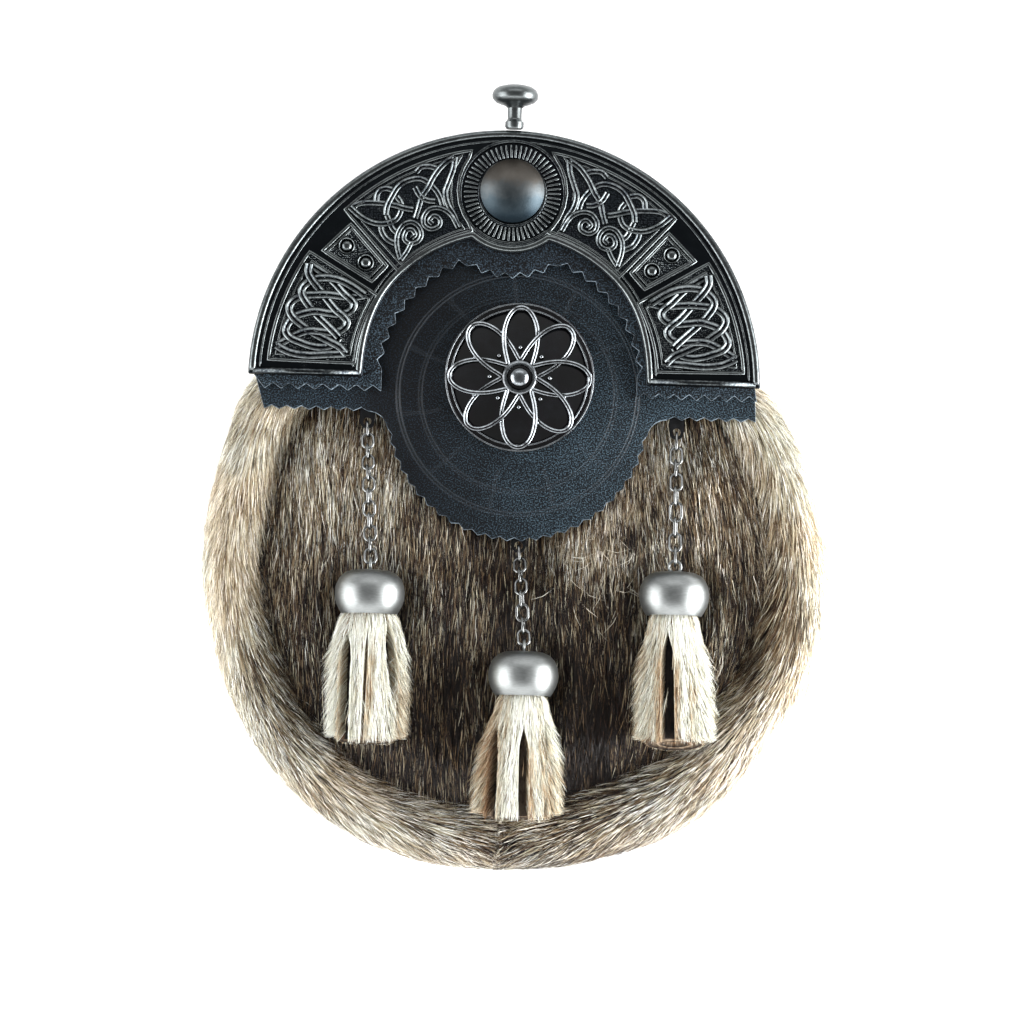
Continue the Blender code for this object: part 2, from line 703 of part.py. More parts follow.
def build_cantle(home, plane, cutters):
    """Cast arch with its ends, rims, framed panels, knotwork, bosses and reeded ring, one body."""
    top = CANTLE_W + CANTLE_THICK
    end = math.degrees(math.asin(CANTLE_END_V / CANTLE_R))
    crown = arc((0.0, 0.0), CANTLE_R, end, 180.0 - end, 28)
    mesh = flat_plate("cantle", [crown + cantle_inner_edge()], CANTLE_W, CANTLE_THICK)
    cantle = add("cantle", mesh, "blackened_metal", home, plane)

    rim = arc((0.0, 0.0), CANTLE_R - RIM_R, 2.6, 177.4, 22)
    inner = cantle_inner_edge(RIM_INNER_R + 0.0002, 19)
    seat = top - 0.0002  # the relief's wires stand a little deeper than half in the plate
    frames = []
    knots = []
    for side in (-1, 1):
        frames += [(lifted(sector_outline(s, side), seat), True) for s in SECTORS]
        frames.append((lifted(spiral_panel_outline(side), seat), True))
        knots += plait_lines(side, seat) + spiral_lines(side, seat)
    reeds = []
    for k in range(REEDS):
        turn = 360.0 * k / REEDS
        ends = [arc((ROUNDEL_U, ROUNDEL_V), r, turn, turn, 1)[0] for r in (REED_IN, REED_OUT)]
        reeds.append((lifted(ends, seat), False))
    ring = arc((ROUNDEL_U, ROUNDEL_V), RING_R, 0.0, 337.5, 16)
    parts = [
        wires("rims", [(lifted(rim, seat), False), (lifted(inner, seat), False)], RIM_R * 0.75),
        wires("frames", frames, FRAME_R),
        wires("knots", knots, KNOT_R),
        wires("reeds", reeds, 0.0008),
        wires("ring", [(lifted(ring, seat), True)], 0.0012),
    ]
    for radius, degrees in BOSSES:
        for side in (-1, 1):
            u, v = from_crown(radius, degrees, side)
            boss = turned("boss", [(0.0, 0.0013), (0.0016, 0.0005), (0.0025, 0.0011),
                                   (0.0029, -0.0006), (0.0, -0.0006)], 8)
            boss.transform(Matrix.Translation((u, v, top)))
            parts.append(boss)
    fuse(cantle, joined("cantle_relief", parts), cutters)
    return cantle


def build_dome(home, plane):
    """Satin dome that sits inside the reeded ring."""
    base = CANTLE_W + CANTLE_THICK + GAP
    sphere = (DOME_R ** 2 + DOME_RISE ** 2) / (2 * DOME_RISE)
    profile = []
    for t in np.linspace(0.0, 1.0, 6):
        r = DOME_R * t
        profile.append((r, math.sqrt(sphere ** 2 - r * r) - sphere + DOME_RISE + 0.0004))
    profile += [(DOME_R, 0.0), (0.0, 0.0)]
    mesh = turned("roundel_dome", profile, 16)
    mesh.transform(Matrix.Translation((ROUNDEL_U, ROUNDEL_V, base)))
    return add("roundel_dome", mesh, "pewter", home, plane)


def build_stud(home, plane):
    """Turned knob, stem and collar that stand on the crown."""
    foot = math.sqrt(CANTLE_R ** 2 - 0.0028 ** 2) + GAP + 0.0001
    profile = [
        (0.0, KNOB_TOP), (0.0042, KNOB_TOP - 0.0005), (0.0064, KNOB_TOP - 0.0019),
        (0.0070, KNOB_TOP - 0.0035), (0.0064, KNOB_TOP - 0.0051), (0.0040, KNOB_TOP - 0.0062),
        (0.0021, KNOB_TOP - 0.0066), (0.0020, foot + 0.0022), (0.0028, foot + 0.0017),
        (0.0028, foot), (0.0, foot),
    ]
    mesh = turned("closure_stud", profile, 12)
    mesh.transform(Matrix.Translation((STUD_U, 0.0, STUD_W)) @ Matrix.Rotation(-math.pi / 2, 4, "X"))
    return add("closure_stud", mesh, "blackened_metal", home, plane)


# ---------------------------------------------------------------- badge


def build_badge(home, plane, cutters):
    """Pierced ornament: a ring, two crossed four-lobed loops and a small boss."""
    centre = (BADGE_U, BADGE_V)
    outer = arc(centre, BADGE_R, 0.0, 348.0, 30)
    inner = arc(centre, BADGE_R - BADGE_BAND, 0.0, 345.0, 24)
    mesh = flat_plate("badge", [outer, inner], BADGE_W, BADGE_THICK)
    badge = add("badge", mesh, "badge_metal", home, plane)
    middle = BADGE_W + BADGE_THICK / 2
    loops = []
    for turned_by, raised in ((0.0, 0.0), (math.pi / 4, LOOP_RAISED)):
        points = []
        for t in np.linspace(0.0, 2 * math.pi, LOOP_POINTS, endpoint=False) + 0.05:
            r = LOOP_R + LOOP_SWING * math.cos(4 * (t - turned_by))
            points.append((BADGE_U + r * math.cos(t), BADGE_V + r * math.sin(t), middle + raised))
        loops.append((points, True))
    boss = turned("boss", [(0.0, 0.0016), (0.0030, 0.0010), (0.0056, 0.0002),
                           (0.0056, -0.0006), (0.0, -0.0006)], 10)
    boss.transform(Matrix.Translation((BADGE_U, BADGE_V, middle)))
    fuse(badge, joined("badge_loops", [wires("loops", loops, ROSETTE_WIRE), boss]), cutters)
    disc = flat_plate("badge_backing", [arc(centre, BACKING_R, 0.0, 345.0, 24)],
                      FLAP_THICK + GAP, BACKING_THICK)
    add("badge_backing", disc, "gloss_black", home, plane)


# ---------------------------------------------------------------- chains and tassels


def chain_path(row, count=60):
    """The chain's line: up from the tab's hole on to the fur, along it, and up to the cap's eye."""
    tab = Vector((row.tab_u, row.tab_v, -GAP - TAB_THICK / 2))
    eye = Vector((row.cap_u, row.cap_v + CAP_HEIGHT / 2 + EYE_SEAT, CAP_W))
    path = []
    for t in np.linspace(0.0, 1.0, count):
        w = tab.z + (CHAIN_W - tab.z) * smoothly(0.0, 0.55, t) + (CAP_W - CHAIN_W) * smoothly(0.72, 1.04, t)
        path.append(Vector((tab.x + (eye.x - tab.x) * t, tab.y + (eye.y - tab.y) * t, w)))
    return path


def along_path(path, distance):
    """Point and direction at a distance along a path."""
    for a, b in zip(path, path[1:]):
        step = (b - a).length
        if distance <= step:
            return a.lerp(b, distance / step), (b - a).normalized()
        distance -= step
    return path[-1] + (path[-1] - path[-2]).normalized() * distance, (path[-1] - path[-2]).normalized()


def build_chain(row, home, plane):
    """Links laid from the tab's hole to the cap's eye, each turned across the one before."""
    path = chain_path(row)
    whole = sum((b - a).length for a, b in zip(path, path[1:]))
    # The links' wires keep their play, so the number of links sets how long each one is.
    pull = 2 * row.wire + LINK_PLAY
    length = (whole + row.wire + (row.links - 1) * pull) / row.links
    pitch = length - pull
    reach = (length - row.wire) / 2
    for k in range(row.links):
        centre, along = along_path(path, reach + pitch * k)
        twist = LINK_TWIST * math.sin(math.pi * k / (row.links - 1))
        roll = twist + (0.0 if k % 2 else math.pi / 2)
        name = f"link_{row.side}_{k + 1:02d}"
        link = add(name, ring_mesh(length, row.width, row.wire), "chain_metal", home, plane)
        turn = along.to_track_quat("Y", "Z").to_matrix().to_4x4()
        link.matrix_local = Matrix.Translation(centre) @ turn @ Matrix.Rotation(roll, 4, "Y")


def build_chain_tab(row, home, plane):
    """Leather tab under the flap's edge, with the hole that the first link hangs in."""
    half = TAB_WIDTH / 2
    loop = [(half, TAB_LENGTH - half), (-half, TAB_LENGTH - half)]
    loop += arc((0.0, 0.0), half, 180.0, 360.0, 7)
    hole = arc((0.0, 0.0), TAB_HOLE_R, 0.0, 324.0, 10)
    name = f"chain_tab_{row.side}"
    mesh = flat_plate(name, [loop, hole], -GAP - TAB_THICK, TAB_THICK)
    mesh.transform(Matrix.Translation((row.tab_u, row.tab_v, 0.0)))
    add(name, mesh, "leather", home, plane)


def build_cap(row, home, plane, cutters):
    """Pewter cup, hollow below, with an eye on its crown."""
    half = CAP_HEIGHT / 2
    profile = [
        (0.0, half), (0.0044, half - 0.0004), (0.0084, half - 0.0026),
        (0.0103, half - 0.0066), (CAP_R - 0.0004, half - 0.0108),
        (CAP_MOUTH_R + 0.0006, -half), (CAP_MOUTH_R, -half),
        (CAP_MOUTH_R - 0.0004, -half + CAP_RECESS), (0.0, -half + CAP_RECESS),
    ]
    name = f"tassel_cap_{row.side}"
    place = Matrix.Translation((row.cap_u, row.cap_v, CAP_W)) @ Matrix.Rotation(-math.pi / 2, 4, "X")
    mesh = turned(name, profile, 12)
    mesh.transform(place)
    cap = add(name, mesh, "pewter", home, plane)
    eye = ring_mesh(EYE_R * 2 + EYE_WIRE, EYE_R * 2 + EYE_WIRE, EYE_WIRE)
    across = 0.0 if row.links % 2 else math.pi / 2  # the eye lies across the last link
    eye.transform(
        Matrix.Translation((row.cap_u, row.cap_v + half + EYE_R * 0.45, CAP_W))
        @ Matrix.Rotation(across, 4, "Y")
    )
    fuse(cap, eye, cutters)


def strip_mesh(top_u, hem_u, top_half, hem_half, length, low, high):
    """One tapered strip of fur: a box drawn out to its hem."""
    bm = bmesh.new()
    bmesh.ops.create_cube(bm, size=2.0)
    for vertex in bm.verts:
        hem = vertex.co.y < 0
        side, out = math.copysign(1, vertex.co.x), vertex.co.z > 0
        vertex.co = (
            (hem_u + side * hem_half) if hem else (top_u + side * top_half),
            -length if hem else 0.0,
            high[hem] if out else low[hem],
        )
    return from_bmesh("strip", bm)


def build_tassel(row, tassel, home, plane, cutters):
    """Strips of fur that hang in two layers from a round head inside the cap."""
    name = f"tassel_{row.side}"
    head_r, head_top = CAP_MOUTH_R - GAP - 0.0005, CAP_RECESS - GAP
    head = turned(name, [(0.0, head_top), (head_r - 0.0004, head_top), (head_r, -0.0070),
                         (0.0, -0.0070)], 12)
    head.transform(Matrix.Rotation(-math.pi / 2, 4, "X"))
    strips = []
    drop = tassel.hem_w - CAP_W
    for layer, (near, far) in enumerate(((0.0005, 0.0056), (-0.0056, -0.0005))):
        count = TASSEL_STRIPS - layer
        pitch_top, pitch_hem = tassel.top_width / count, tassel.hem_width / count
        for k in range(count):
            place = k - (count - 1) / 2
            trim = 0.0012 * ((k * 2 + layer) % 3)
            curve = 1 - 0.35 * abs(place) / (count / 2)
            inner, outer = near * curve, far * curve
            strips.append(strip_mesh(
                place * pitch_top, place * pitch_hem + tassel.shift,
                pitch_top / 2 + 0.0001, pitch_hem / 2 - STRIP_GAP,
                tassel.length - trim,
                (inner, drop + inner), (outer, drop + outer),
            ))
    for mesh in strips:
        mesh.transform(Matrix.Translation((0.0, -0.0012, 0.0)))
    place = Matrix.Translation((row.cap_u, row.cap_v - CAP_HEIGHT / 2, CAP_W))
    head.transform(place)
    item = add(name, head, "tassel_fur", home, plane)
    locks = joined(name + "_strips", strips)
    locks.transform(place)
    fuse(item, locks, cutters)


# ---------------------------------------------------------------- strap fastening on the back


def build_strap_fastening(home):
    """Two folded leather tabs on the back panel, each with a D ring for the strap."""
    for name, side in (("left", -1), ("right", 1)):
        x, middle = side * STRAP_X, TAB_BACK_Z + TAB_BACK_THICK / 2
        half = TAB_BACK_THICK / 2
        loop = [(TAB_BACK_LENGTH, -half), (TAB_BACK_LENGTH, half)]
        loop += arc((0.0, 0.0), half, 90.0, 270.0, 8)
        hole = arc((0.0, 0.0), RING_WIRE + GAP, 0.0, 330.0, 12)
        tab = flat_plate(f"ring_tab_{name}", [loop, hole], -TAB_BACK_WIDTH / 2, TAB_BACK_WIDTH)
        turn = Matrix(((0, 0, 1, x), (-1, 0, 0, STRAP_Y), (0, 1, 0, middle), (0, 0, 0, 1)))
        tab.transform(turn)
        bm = bmesh.new()
        bm.from_mesh(tab)
        add(f"ring_tab_{name}", from_bmesh(tab.name, bm), "leather", home)
        bow = RING_BAR / 2
        points = [(x - bow, STRAP_Y, middle), (x + bow, STRAP_Y, middle)]
        for t in np.linspace(0.0, math.pi, 9):
            points.append((x + bow * math.cos(t) * 1.02, STRAP_Y + 0.0030
                           + (RING_DEPTH - 0.0030) * math.sin(t), middle))
        ring = wires(f"strap_ring_{name}", [(points, True)], RING_WIRE, 1)
        add(f"strap_ring_{name}", ring, "chain_metal", home)


# ---------------------------------------------------------------- the whole


def main():
    clear_scene()
    home, cutters = collection("sporran_pouch"), collection("guides")
    plane = bpy.data.objects.new("front_plane", None)
    home.objects.link(plane)
    plane.matrix_world = FRONT

    build_back_panel(home)
    build_gusset("gusset_left", SEAM_ANGLE - 0.15, -SHOULDER_ANGLE, home)
    build_gusset("gusset_right", SEAM_ANGLE + 0.15, SHOULDER_ANGLE, home)
    build_front_panel(home)
    build_flap(home, plane)
    build_underlay(home, plane)
    build_cantle(home, plane, cutters)
    build_dome(home, plane)
    build_stud(home, plane)
    build_badge(home, plane, cutters)
    for row, tassel in zip(STRANDS, TASSELS):
        build_chain_tab(row, home, plane)
        build_chain(row, home, plane)
        build_cap(row, home, plane, cutters)
        build_tassel(row, tassel, home, plane, cutters)
    build_strap_fastening(home)
    bpy.context.view_layer.update()


main()
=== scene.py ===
"""Scottish dress sporran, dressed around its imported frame.

Fur, cast cantle, pinked leathers, badge, chains and tassels. The object lies on its back on a pale
floor: +Y runs up its front and +Z comes out of it. The front's pieces are laid out in a plane that
leans back towards the crown: u runs right, v up and w outwards. Lengths are in metres, except where
a comment says millimetres.
"""

import math
from collections import namedtuple
from contextlib import contextmanager

import bmesh
import bpy
import numpy as np
from mathutils import Matrix, Vector


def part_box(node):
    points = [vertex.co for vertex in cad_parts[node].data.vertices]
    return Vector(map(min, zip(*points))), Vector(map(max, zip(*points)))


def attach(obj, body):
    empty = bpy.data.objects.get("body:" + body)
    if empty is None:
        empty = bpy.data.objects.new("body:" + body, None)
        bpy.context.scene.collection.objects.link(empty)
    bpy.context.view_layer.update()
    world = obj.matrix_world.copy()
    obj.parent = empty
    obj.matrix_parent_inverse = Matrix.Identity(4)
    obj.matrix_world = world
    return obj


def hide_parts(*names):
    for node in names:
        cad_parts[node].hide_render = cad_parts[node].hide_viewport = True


bl_info = {
    "name": "Sporran Dressing",
    "version": (1, 0, 0),
    "blender": (4, 5, 0),
    "location": "3D View > Sidebar > Sporran",
    "description": "Fur, cast metal, leather, chains and tassels for a sporran pouch",
    "category": "Add Mesh",
}

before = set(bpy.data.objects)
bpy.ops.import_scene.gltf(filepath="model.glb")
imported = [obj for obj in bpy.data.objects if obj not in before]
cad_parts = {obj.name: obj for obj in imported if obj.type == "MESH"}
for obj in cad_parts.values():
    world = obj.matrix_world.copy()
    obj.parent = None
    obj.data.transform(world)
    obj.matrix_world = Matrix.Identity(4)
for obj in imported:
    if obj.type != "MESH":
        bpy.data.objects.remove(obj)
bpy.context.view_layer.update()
SEED = 20
SIDES = (("left", -1), ("right", 1))

# ---------------------------------------------------------------- places and sizes, as the frame has them

CANTLE_X, CANTLE_Y, FRONT_Z = -0.0063, 0.0271, 0.0240
LEAN = math.radians(4.0)
FRONT = Matrix.Translation((CANTLE_X, CANTLE_Y, FRONT_Z)) @ Matrix.Rotation(-LEAN, 4, "X")
UPRIGHT = Matrix.Rotation(-math.pi / 2, 4, "X")  # stands a turned piece along v
PHOTO_TURN = math.radians(1.7)  # the object lies a little clockwise in the picture

POUCH_Y = CANTLE_Y - 0.0600
SEAM_ANGLE, SHOULDER_ANGLE = -3.2, 134.0
# Degrees from straight down; radius left and right; roll's width left and right; crest's height
POUCH = np.array((
    (0, 0.0846, 0.0846, 0.0185, 0.0205, 0.0372),
    (20, 0.0872, 0.0849, 0.0185, 0.0210, 0.0374),
    (40, 0.0906, 0.0879, 0.0180, 0.0215, 0.0374),
    (60, 0.0921, 0.0898, 0.0172, 0.0210, 0.0368),
    (75, 0.0928, 0.0933, 0.0168, 0.0208, 0.0360),
    (90, 0.0945, 0.0945, 0.0165, 0.0200, 0.0345),
    (110, 0.0970, 0.0948, 0.0165, 0.0185, 0.0308),
    (126, 0.1010, 0.0958, 0.0160, 0.0170, 0.0226),
    (134, 0.1005, 0.0945, 0.0155, 0.0160, 0.0204),
))
ROLL = (  # section of the roll: shares of its width inwards and of its crest upwards
    (1.35, 0.00), (0.62, 0.00), (0.22, 0.09), (0.04, 0.27), (0.00, 0.50),
    (0.07, 0.73), (0.25, 0.92), (0.50, 1.00), (0.79, 0.94), (1.00, 0.80),
)
CREASE_UP = ROLL[-1][1]
PANEL_TOP = CANTLE_Y - 0.0022
PILE, UNDER_LEATHER = 0.0042, -0.0005
PILE_START, PILE_RUN, CREASE_RUN = 0.0070, 0.0120, 0.0140
ROLL_BED, FRONT_BED = 0.0024, 0.0022  # how deep the hide lies under the fur's mean surface
ROLL_HIDE, FRONT_HIDE = 0.0020, 0.0018  # and how thick it is
HIDE_SEAM = {"left": 3.35, "right": -3.05}  # degrees where each half of the roll's hide starts
FRONT_HALF, FRONT_REACH, FRONT_HIDE_REACH = 0.080, 0.070, 0.0640

FLAP_THICK, UNDERLAY_THICK, LEAF_GAP = 0.0016, 0.0014, 0.0003
UNDERLAY_W = FLAP_THICK + LEAF_GAP
FLAP_CROWN = 0.0752
DROP_U, DROP_V, DROP_R = 0.0044, -0.0071, 0.0396
WING_V, WING_LEFT, WING_RIGHT, FILLET = -0.0089, -0.0717, 0.0758, 0.0058
UNDERLAY_V = -0.0030
UNDERLAY_IN_U, UNDERLAY_IN_V, UNDERLAY_IN_R, UNDERLAY_DIP_R = 0.0015, 0.0006, 0.0384, 0.0262
FLAP_TEETH, UNDERLAY_TEETH = (0.0045, 0.0011), (0.0048, 0.0018)  # pitch and depth of the pinking
EMBOSS_U, EMBOSS_V, LINE_WIDTH = 0.0043, -0.0026, 0.00036
EMBOSSED_RINGS = ((0.0355, 0.9), (0.0365, 0.7), (0.0289, 0.55), (0.0299, 0.35))  # radius, depth
RAYS, RAYS_FROM, RAYS_TO, RAY_DEPTH = 11, 0.0235, 0.0352, 0.30

CANTLE_W = UNDERLAY_W + UNDERLAY_THICK + LEAF_GAP
CANTLE_THICK, CANTLE_R = 0.0018, 0.07665
CANTLE_IN_TOP, CANTLE_IN_END, CANTLE_END_V = 0.0450, 0.0424, 0.0010
CANTLE_TOP = CANTLE_W + CANTLE_THICK
ROUNDEL_U, ROUNDEL_V, DIP_R = 0.0008, 0.0583, 0.0188
DOME_R, DOME_RISE, RING_R = 0.0096, 0.0042, 0.0157
REEDS_V, REED_WIRE = ROUNDEL_V - 0.0006, 0.00040
REED_LINE = ((0.0104, 0.0001), (0.0108, 0.0004), (0.0142, 0.0004), (0.0147, 0.0))  # radius, height
# Profiles of turned pieces are rows of (radius, height)
BOSS_PROFILE = ((0.0, 0.0012), (0.0007, 0.00115), (0.0012, 0.0009), (0.00155, 0.0004), (0.0018, 0.00025),
                (0.0020, 0.0006), (0.0023, 0.0008), (0.0026, 0.0005), (0.0030, -0.0003), (0.0, -0.0003))
KNOB_TOP, STUD_W, STUD_FOOT_R = 0.0904, CANTLE_W + 0.0022, 0.0028
KNOB_HEAD = ((0.0, 0.0), (0.0030, 0.0002), (0.0052, 0.0008), (0.0065, 0.0018), (0.0070, 0.0032),
             (0.0068, 0.0044), (0.0058, 0.0054), (0.0044, 0.0060), (0.0030, 0.0064), (0.0022, 0.0072))
KNOB_FOOT = ((0.0021, 0.0032), (0.0022, 0.0026), (0.0028, 0.0020), (0.0028, 0.0006), (0.0024, 0.0),
             (0.0, 0.0))
BADGE_U, BADGE_V, BADGE_R, BADGE_BAND = 0.0046, 0.0024, 0.0224, 0.00072
DISC_R, DISC_THICK = 0.0208, 0.0009
BADGE_W = FLAP_THICK + LEAF_GAP + DISC_THICK + LEAF_GAP
BADGE_BOSS = ((0.0, 0.0018), (0.0012, 0.0017), (0.0024, 0.0012), (0.0029, 0.0006), (0.0035, 0.0005),
              (0.0040, 0.0010), (0.0048, 0.0009), (0.0055, 0.0002), (0.0056, -0.0006), (0.0, -0.0006))
BEAD_PROFILE = ((0.0, 0.0008), (0.0004, 0.0007), (0.0007, 0.0003), (0.0008, -0.0006), (0.0, -0.0006))

Strand = namedtuple("Strand", "side tab_u tab_v cap_u cap_v links width wire")
STRANDS = (
    Strand("left", -0.0407, -0.0118, -0.0380, -0.0633, 12, 0.0042, 0.00072),
    Strand("right", 0.0522, -0.0124, 0.0524, -0.0612, 9, 0.0043, 0.00078),
    Strand("centre", 0.0058, -0.0478, 0.0083, -0.0862, 8, 0.0043, 0.00078),
)
CAP_W, CAP_HEIGHT, EYE_R, EYE_WIRE = 0.0108, 0.0138, 0.0018, 0.00042
CAP_SIDE = ((0.0, 0.0006), (0.0034, 0.0006), (0.0058, 0.0009), (0.0077, 0.0017), (0.0092, 0.0032),
            (0.0101, 0.0052), (0.0104, 0.0072), (0.0103, 0.0092), (0.0098, 0.0110), (0.0091, 0.0124))
CAP_LIP = ((0.0085, 0.0004), (0.0082, 0.0), (0.0079, 0.0002), (0.0076, 0.0040), (0.0, 0.0040))
RING_WIRE, RING_CORNER, RING_STRAIGHT = 0.0011, 0.0012, 0.0030
# A slit's place across the tassel half way down, and how far it moves from cap to hem; start and end
# as shares down it; how tan the hairs are to its left and right; how dark it is; the face it is cut in
Slit = namedtuple("Slit", "at lean wide start end left right dark face", defaults=(1,))
Tassel = namedtuple(
    "Tassel", "side length top_width hem_width rounded shift hem_w slant dim_left dim_right slits")
BACK_SLITS = tuple(Slit(at, 0.0, 0.0009, 0.1, 1.2, 0.3, 0.3, 1.0, -1)
                   for at in (-0.008, -0.003, 0.003, 0.008))
TASSELS = (
    Tassel("left", 0.0395, 0.0162, 0.0224, 8.0, 0.0002, 0.0112, 0.0009, -0.05, 0.16,
           (Slit(-0.0067, -0.0003, 0.0033, 0.10, 1.8, 0.7, 0.1, 1.0),
            Slit(-0.0006, -0.0012, 0.0009, 0.08, 1.4, 0.1, 0.9, 0.60),
            Slit(0.0078, 0.0038, 0.0030, 0.04, 0.80, 0.0, 0.3, 1.0))),
    Tassel("right", 0.0398, 0.0150, 0.0228, 1.6, 0.0012, 0.0110, 0.0018, 0.18, 0.0,
           (Slit(-0.0022, 0.0002, 0.0034, 0.10, 1.4, 0.9, 1.0, 1.0),
            Slit(0.0046, 0.0010, 0.0005, 0.30, 1.2, 0.1, 0.5, 0.4))),
    Tassel("centre", 0.0378, 0.0150, 0.0254, 1.6, -0.0010, 0.0128, 0.0004, 0.24, 0.16,
           (Slit(-0.0076, -0.0004, 0.0030, 0.16, 1.8, 0.9, 0.1, 1.0),
            Slit(0.0014, 0.0018, 0.0026, 0.22, 1.8, 0.1, 1.0, 0.9),
            Slit(0.0080, 0.0026, 0.0009, 0.15, 1.3, 0.5, 0.5, 0.5))),
)

# Knots of the left half's panels, as the middle lines of their bands, in millimetres of (u, v)
END_KNOT = (
    ((-59.4, 34.4), (-59.6, 32.1), (-58.3, 29.6), (-56.2, 27.1), (-53.7, 24.0), (-51.0, 20.9),
     (-48.5, 18.8), (-47.5, 17.1), (-48.7, 15.1), (-51.7, 14.0), (-55.4, 14.2), (-58.3, 14.3),
     (-61.0, 13.7), (-64.5, 11.9), (-68.3, 9.7)),
    ((-59.4, 34.4), (-55.4, 32.1), (-51.8, 29.2), (-48.7, 25.9), (-46.1, 23.6), (-45.7, 22.1),
     (-47.1, 20.3), (-49.8, 19.6), (-53.3, 19.8), (-56.7, 20.2), (-59.6, 19.8), (-63.3, 18.4),
     (-65.4, 15.9), (-65.6, 13.7), (-64.0, 11.9), (-61.3, 10.8), (-58.1, 9.8), (-54.7, 9.5),
     (-51.6, 10.4), (-49.8, 12.6)),
    ((-42.5, 25.5), (-46.0, 24.8), (-49.7, 25.0), (-52.9, 25.3), (-55.7, 25.3), (-60.9, 24.8),
     (-64.3, 22.8), (-64.9, 20.5), (-63.6, 18.1), (-61.4, 16.3), (-58.3, 14.1), (-54.5, 12.2),
     (-51.6, 10.8), (-49.5, 9.7), (-47.5, 7.7)),
    ((-42.5, 25.5), (-46.6, 28.2), (-50.1, 29.8), (-53.6, 30.4), (-57.6, 30.0), (-60.8, 27.8),
     (-61.3, 25.5), (-59.7, 22.7), (-56.7, 19.3), (-53.2, 16.0), (-50.8, 13.7), (-49.8, 12.6)),
    ((-68.3, 9.7), (-66.7, 8.7), (-63.5, 7.5), (-58.6, 7.0), (-52.9, 7.4), (-47.5, 7.7)),
)
LEAF_KNOT = (
    ((-16.8, 68.0), (-20.0, 65.8), (-22.8, 62.2), (-24.5, 58.7), (-26.3, 55.8), (-27.2, 52.4),
     (-28.1, 49.2)),
    ((-16.8, 68.0), (-17.1, 64.7), (-18.3, 60.9), (-19.3, 57.5), (-18.4, 53.8), (-16.4, 50.4),
     (-15.1, 46.7)),
    ((-47.7, 51.9), (-44.3, 53.3), (-39.5, 53.5), (-34.8, 53.0), (-31.4, 52.1), (-28.8, 51.7)),
    ((-47.7, 51.9), (-44.2, 49.0), (-40.7, 47.4), (-37.3, 47.2), (-34.1, 48.4), (-32.6, 51.0),
     (-32.6, 53.9), (-33.8, 55.6)),
    ((-36.9, 49.8), (-36.6, 52.6), (-35.2, 55.8), (-33.3, 58.8), (-30.2, 60.7), (-26.5, 61.1),
     (-23.0, 58.8), (-20.9, 56.0), (-19.9, 52.9)),
    ((-28.4, 58.5), (-26.9, 56.1), (-24.6, 54.7), (-22.3, 54.5)),
    ((-36.5, 49.8), (-34.9, 46.1), (-33.4, 44.6)),
    ((-38.4, 46.9), (-37.9, 44.9), (-36.3, 42.6), (-33.9, 41.4)),
    ((-39.9, 54.0), (-39.5, 56.6), (-37.6, 57.9), (-35.3, 57.6)),
    ((-28.3, 63.1), (-26.6, 64.7), (-24.0, 64.9), (-21.7, 64.3)),
)
SPIRALS = (
    ((-15.1, 46.7), (-17.5, 50.6), (-20.8, 52.4), (-23.9, 52.0), (-25.6, 49.8), (-25.3, 47.2),
     (-23.2, 46.0), (-20.9, 47.1), (-20.7, 49.1), (-22.4, 50.1), (-23.8, 48.7), (-22.8, 47.6)),
    ((-32.1, 36.5), (-33.3, 40.7), (-33.3, 44.1), (-31.8, 46.9), (-29.2, 48.0), (-26.8, 46.6),
     (-26.1, 44.1), (-27.3, 42.0), (-29.6, 41.5), (-31.2, 43.0), (-30.7, 45.2), (-29.0, 45.7),
     (-28.0, 44.3), (-29.1, 43.1)),
    ((-32.1, 36.5), (-30.4, 39.0), (-29.1, 41.7)),
)
KNOTS = (  # the runs of a panel, how far they weave, half a band's width, how worn it is
    (END_KNOT, 0.00030, 0.00138, 0.97),
    (LEAF_KNOT, 0.00026, 0.00104, 0.86),
)
SPIRAL_RISE, SPIRAL_HALF, SPIRAL_WEAR = 0.00024, 0.00086, 0.86
PANELS = (  # corners, how far in the inner border runs, how stippled it is, whether it keeps off the reeds
    (((-59.4, 38.2), (-38.6, 25.6), (-44.9, 5.0), (-70.7, 5.4)), 0.0028, 1.0, False),
    (((-47.3, 46.9), (-55.5, 38.6), (-40.5, 29.7), (-36.1, 34.6)), 0.0015, 1.0, False),
    (((-49.2, 51.1), (-11.7, 70.2), (-11.0, 45.9), (-32.8, 33.2)), 0.0022, 0.25, True),
)
BOSSES = ((-48.3, 40.3), (-42.5, 35.4))
MIRROR_U = 0.8  # the right half is the left half turned over about half of this, in millimetres

KNOB_METAL, CHAIN_METAL = (0.138, 0.150, 0.152), (0.245, 0.252, 0.250)
BADGE_HOLLOW = (0.05, 0.05, 0.052)
LIGHTS = (  # name, place, width and height, power
    ("left", (-1.15, -0.12, 0.48), (1.3, 0.9), 19.0),
    ("right", (1.15, -0.05, 0.45), (1.3, 0.9), 25.0),
    ("near right", (0.52, -0.12, 0.16), (0.5, 0.3), 6.6),
    ("near left", (-0.46, -0.30, 0.22), (0.5, 0.4), 1.2),
    ("crown", (0.0, 1.05, 0.80), (1.4, 0.5), 4.0),
    ("front", (0.0, -1.0, 0.75), (1.4, 0.5), 7.0),
)
SKY_BELOW, SKY_ABOVE = 0.95, 0.20
CAMERA_X, CAMERA_Y, CAMERA_FAR, FOCUS_Z = -0.00278, -0.01061, 1.4, 0.0250
SENSOR, PICTURE_WIDTH = 36.0, 0.3072  # millimetres, and metres at the focus

# ---------------------------------------------------------------- properties


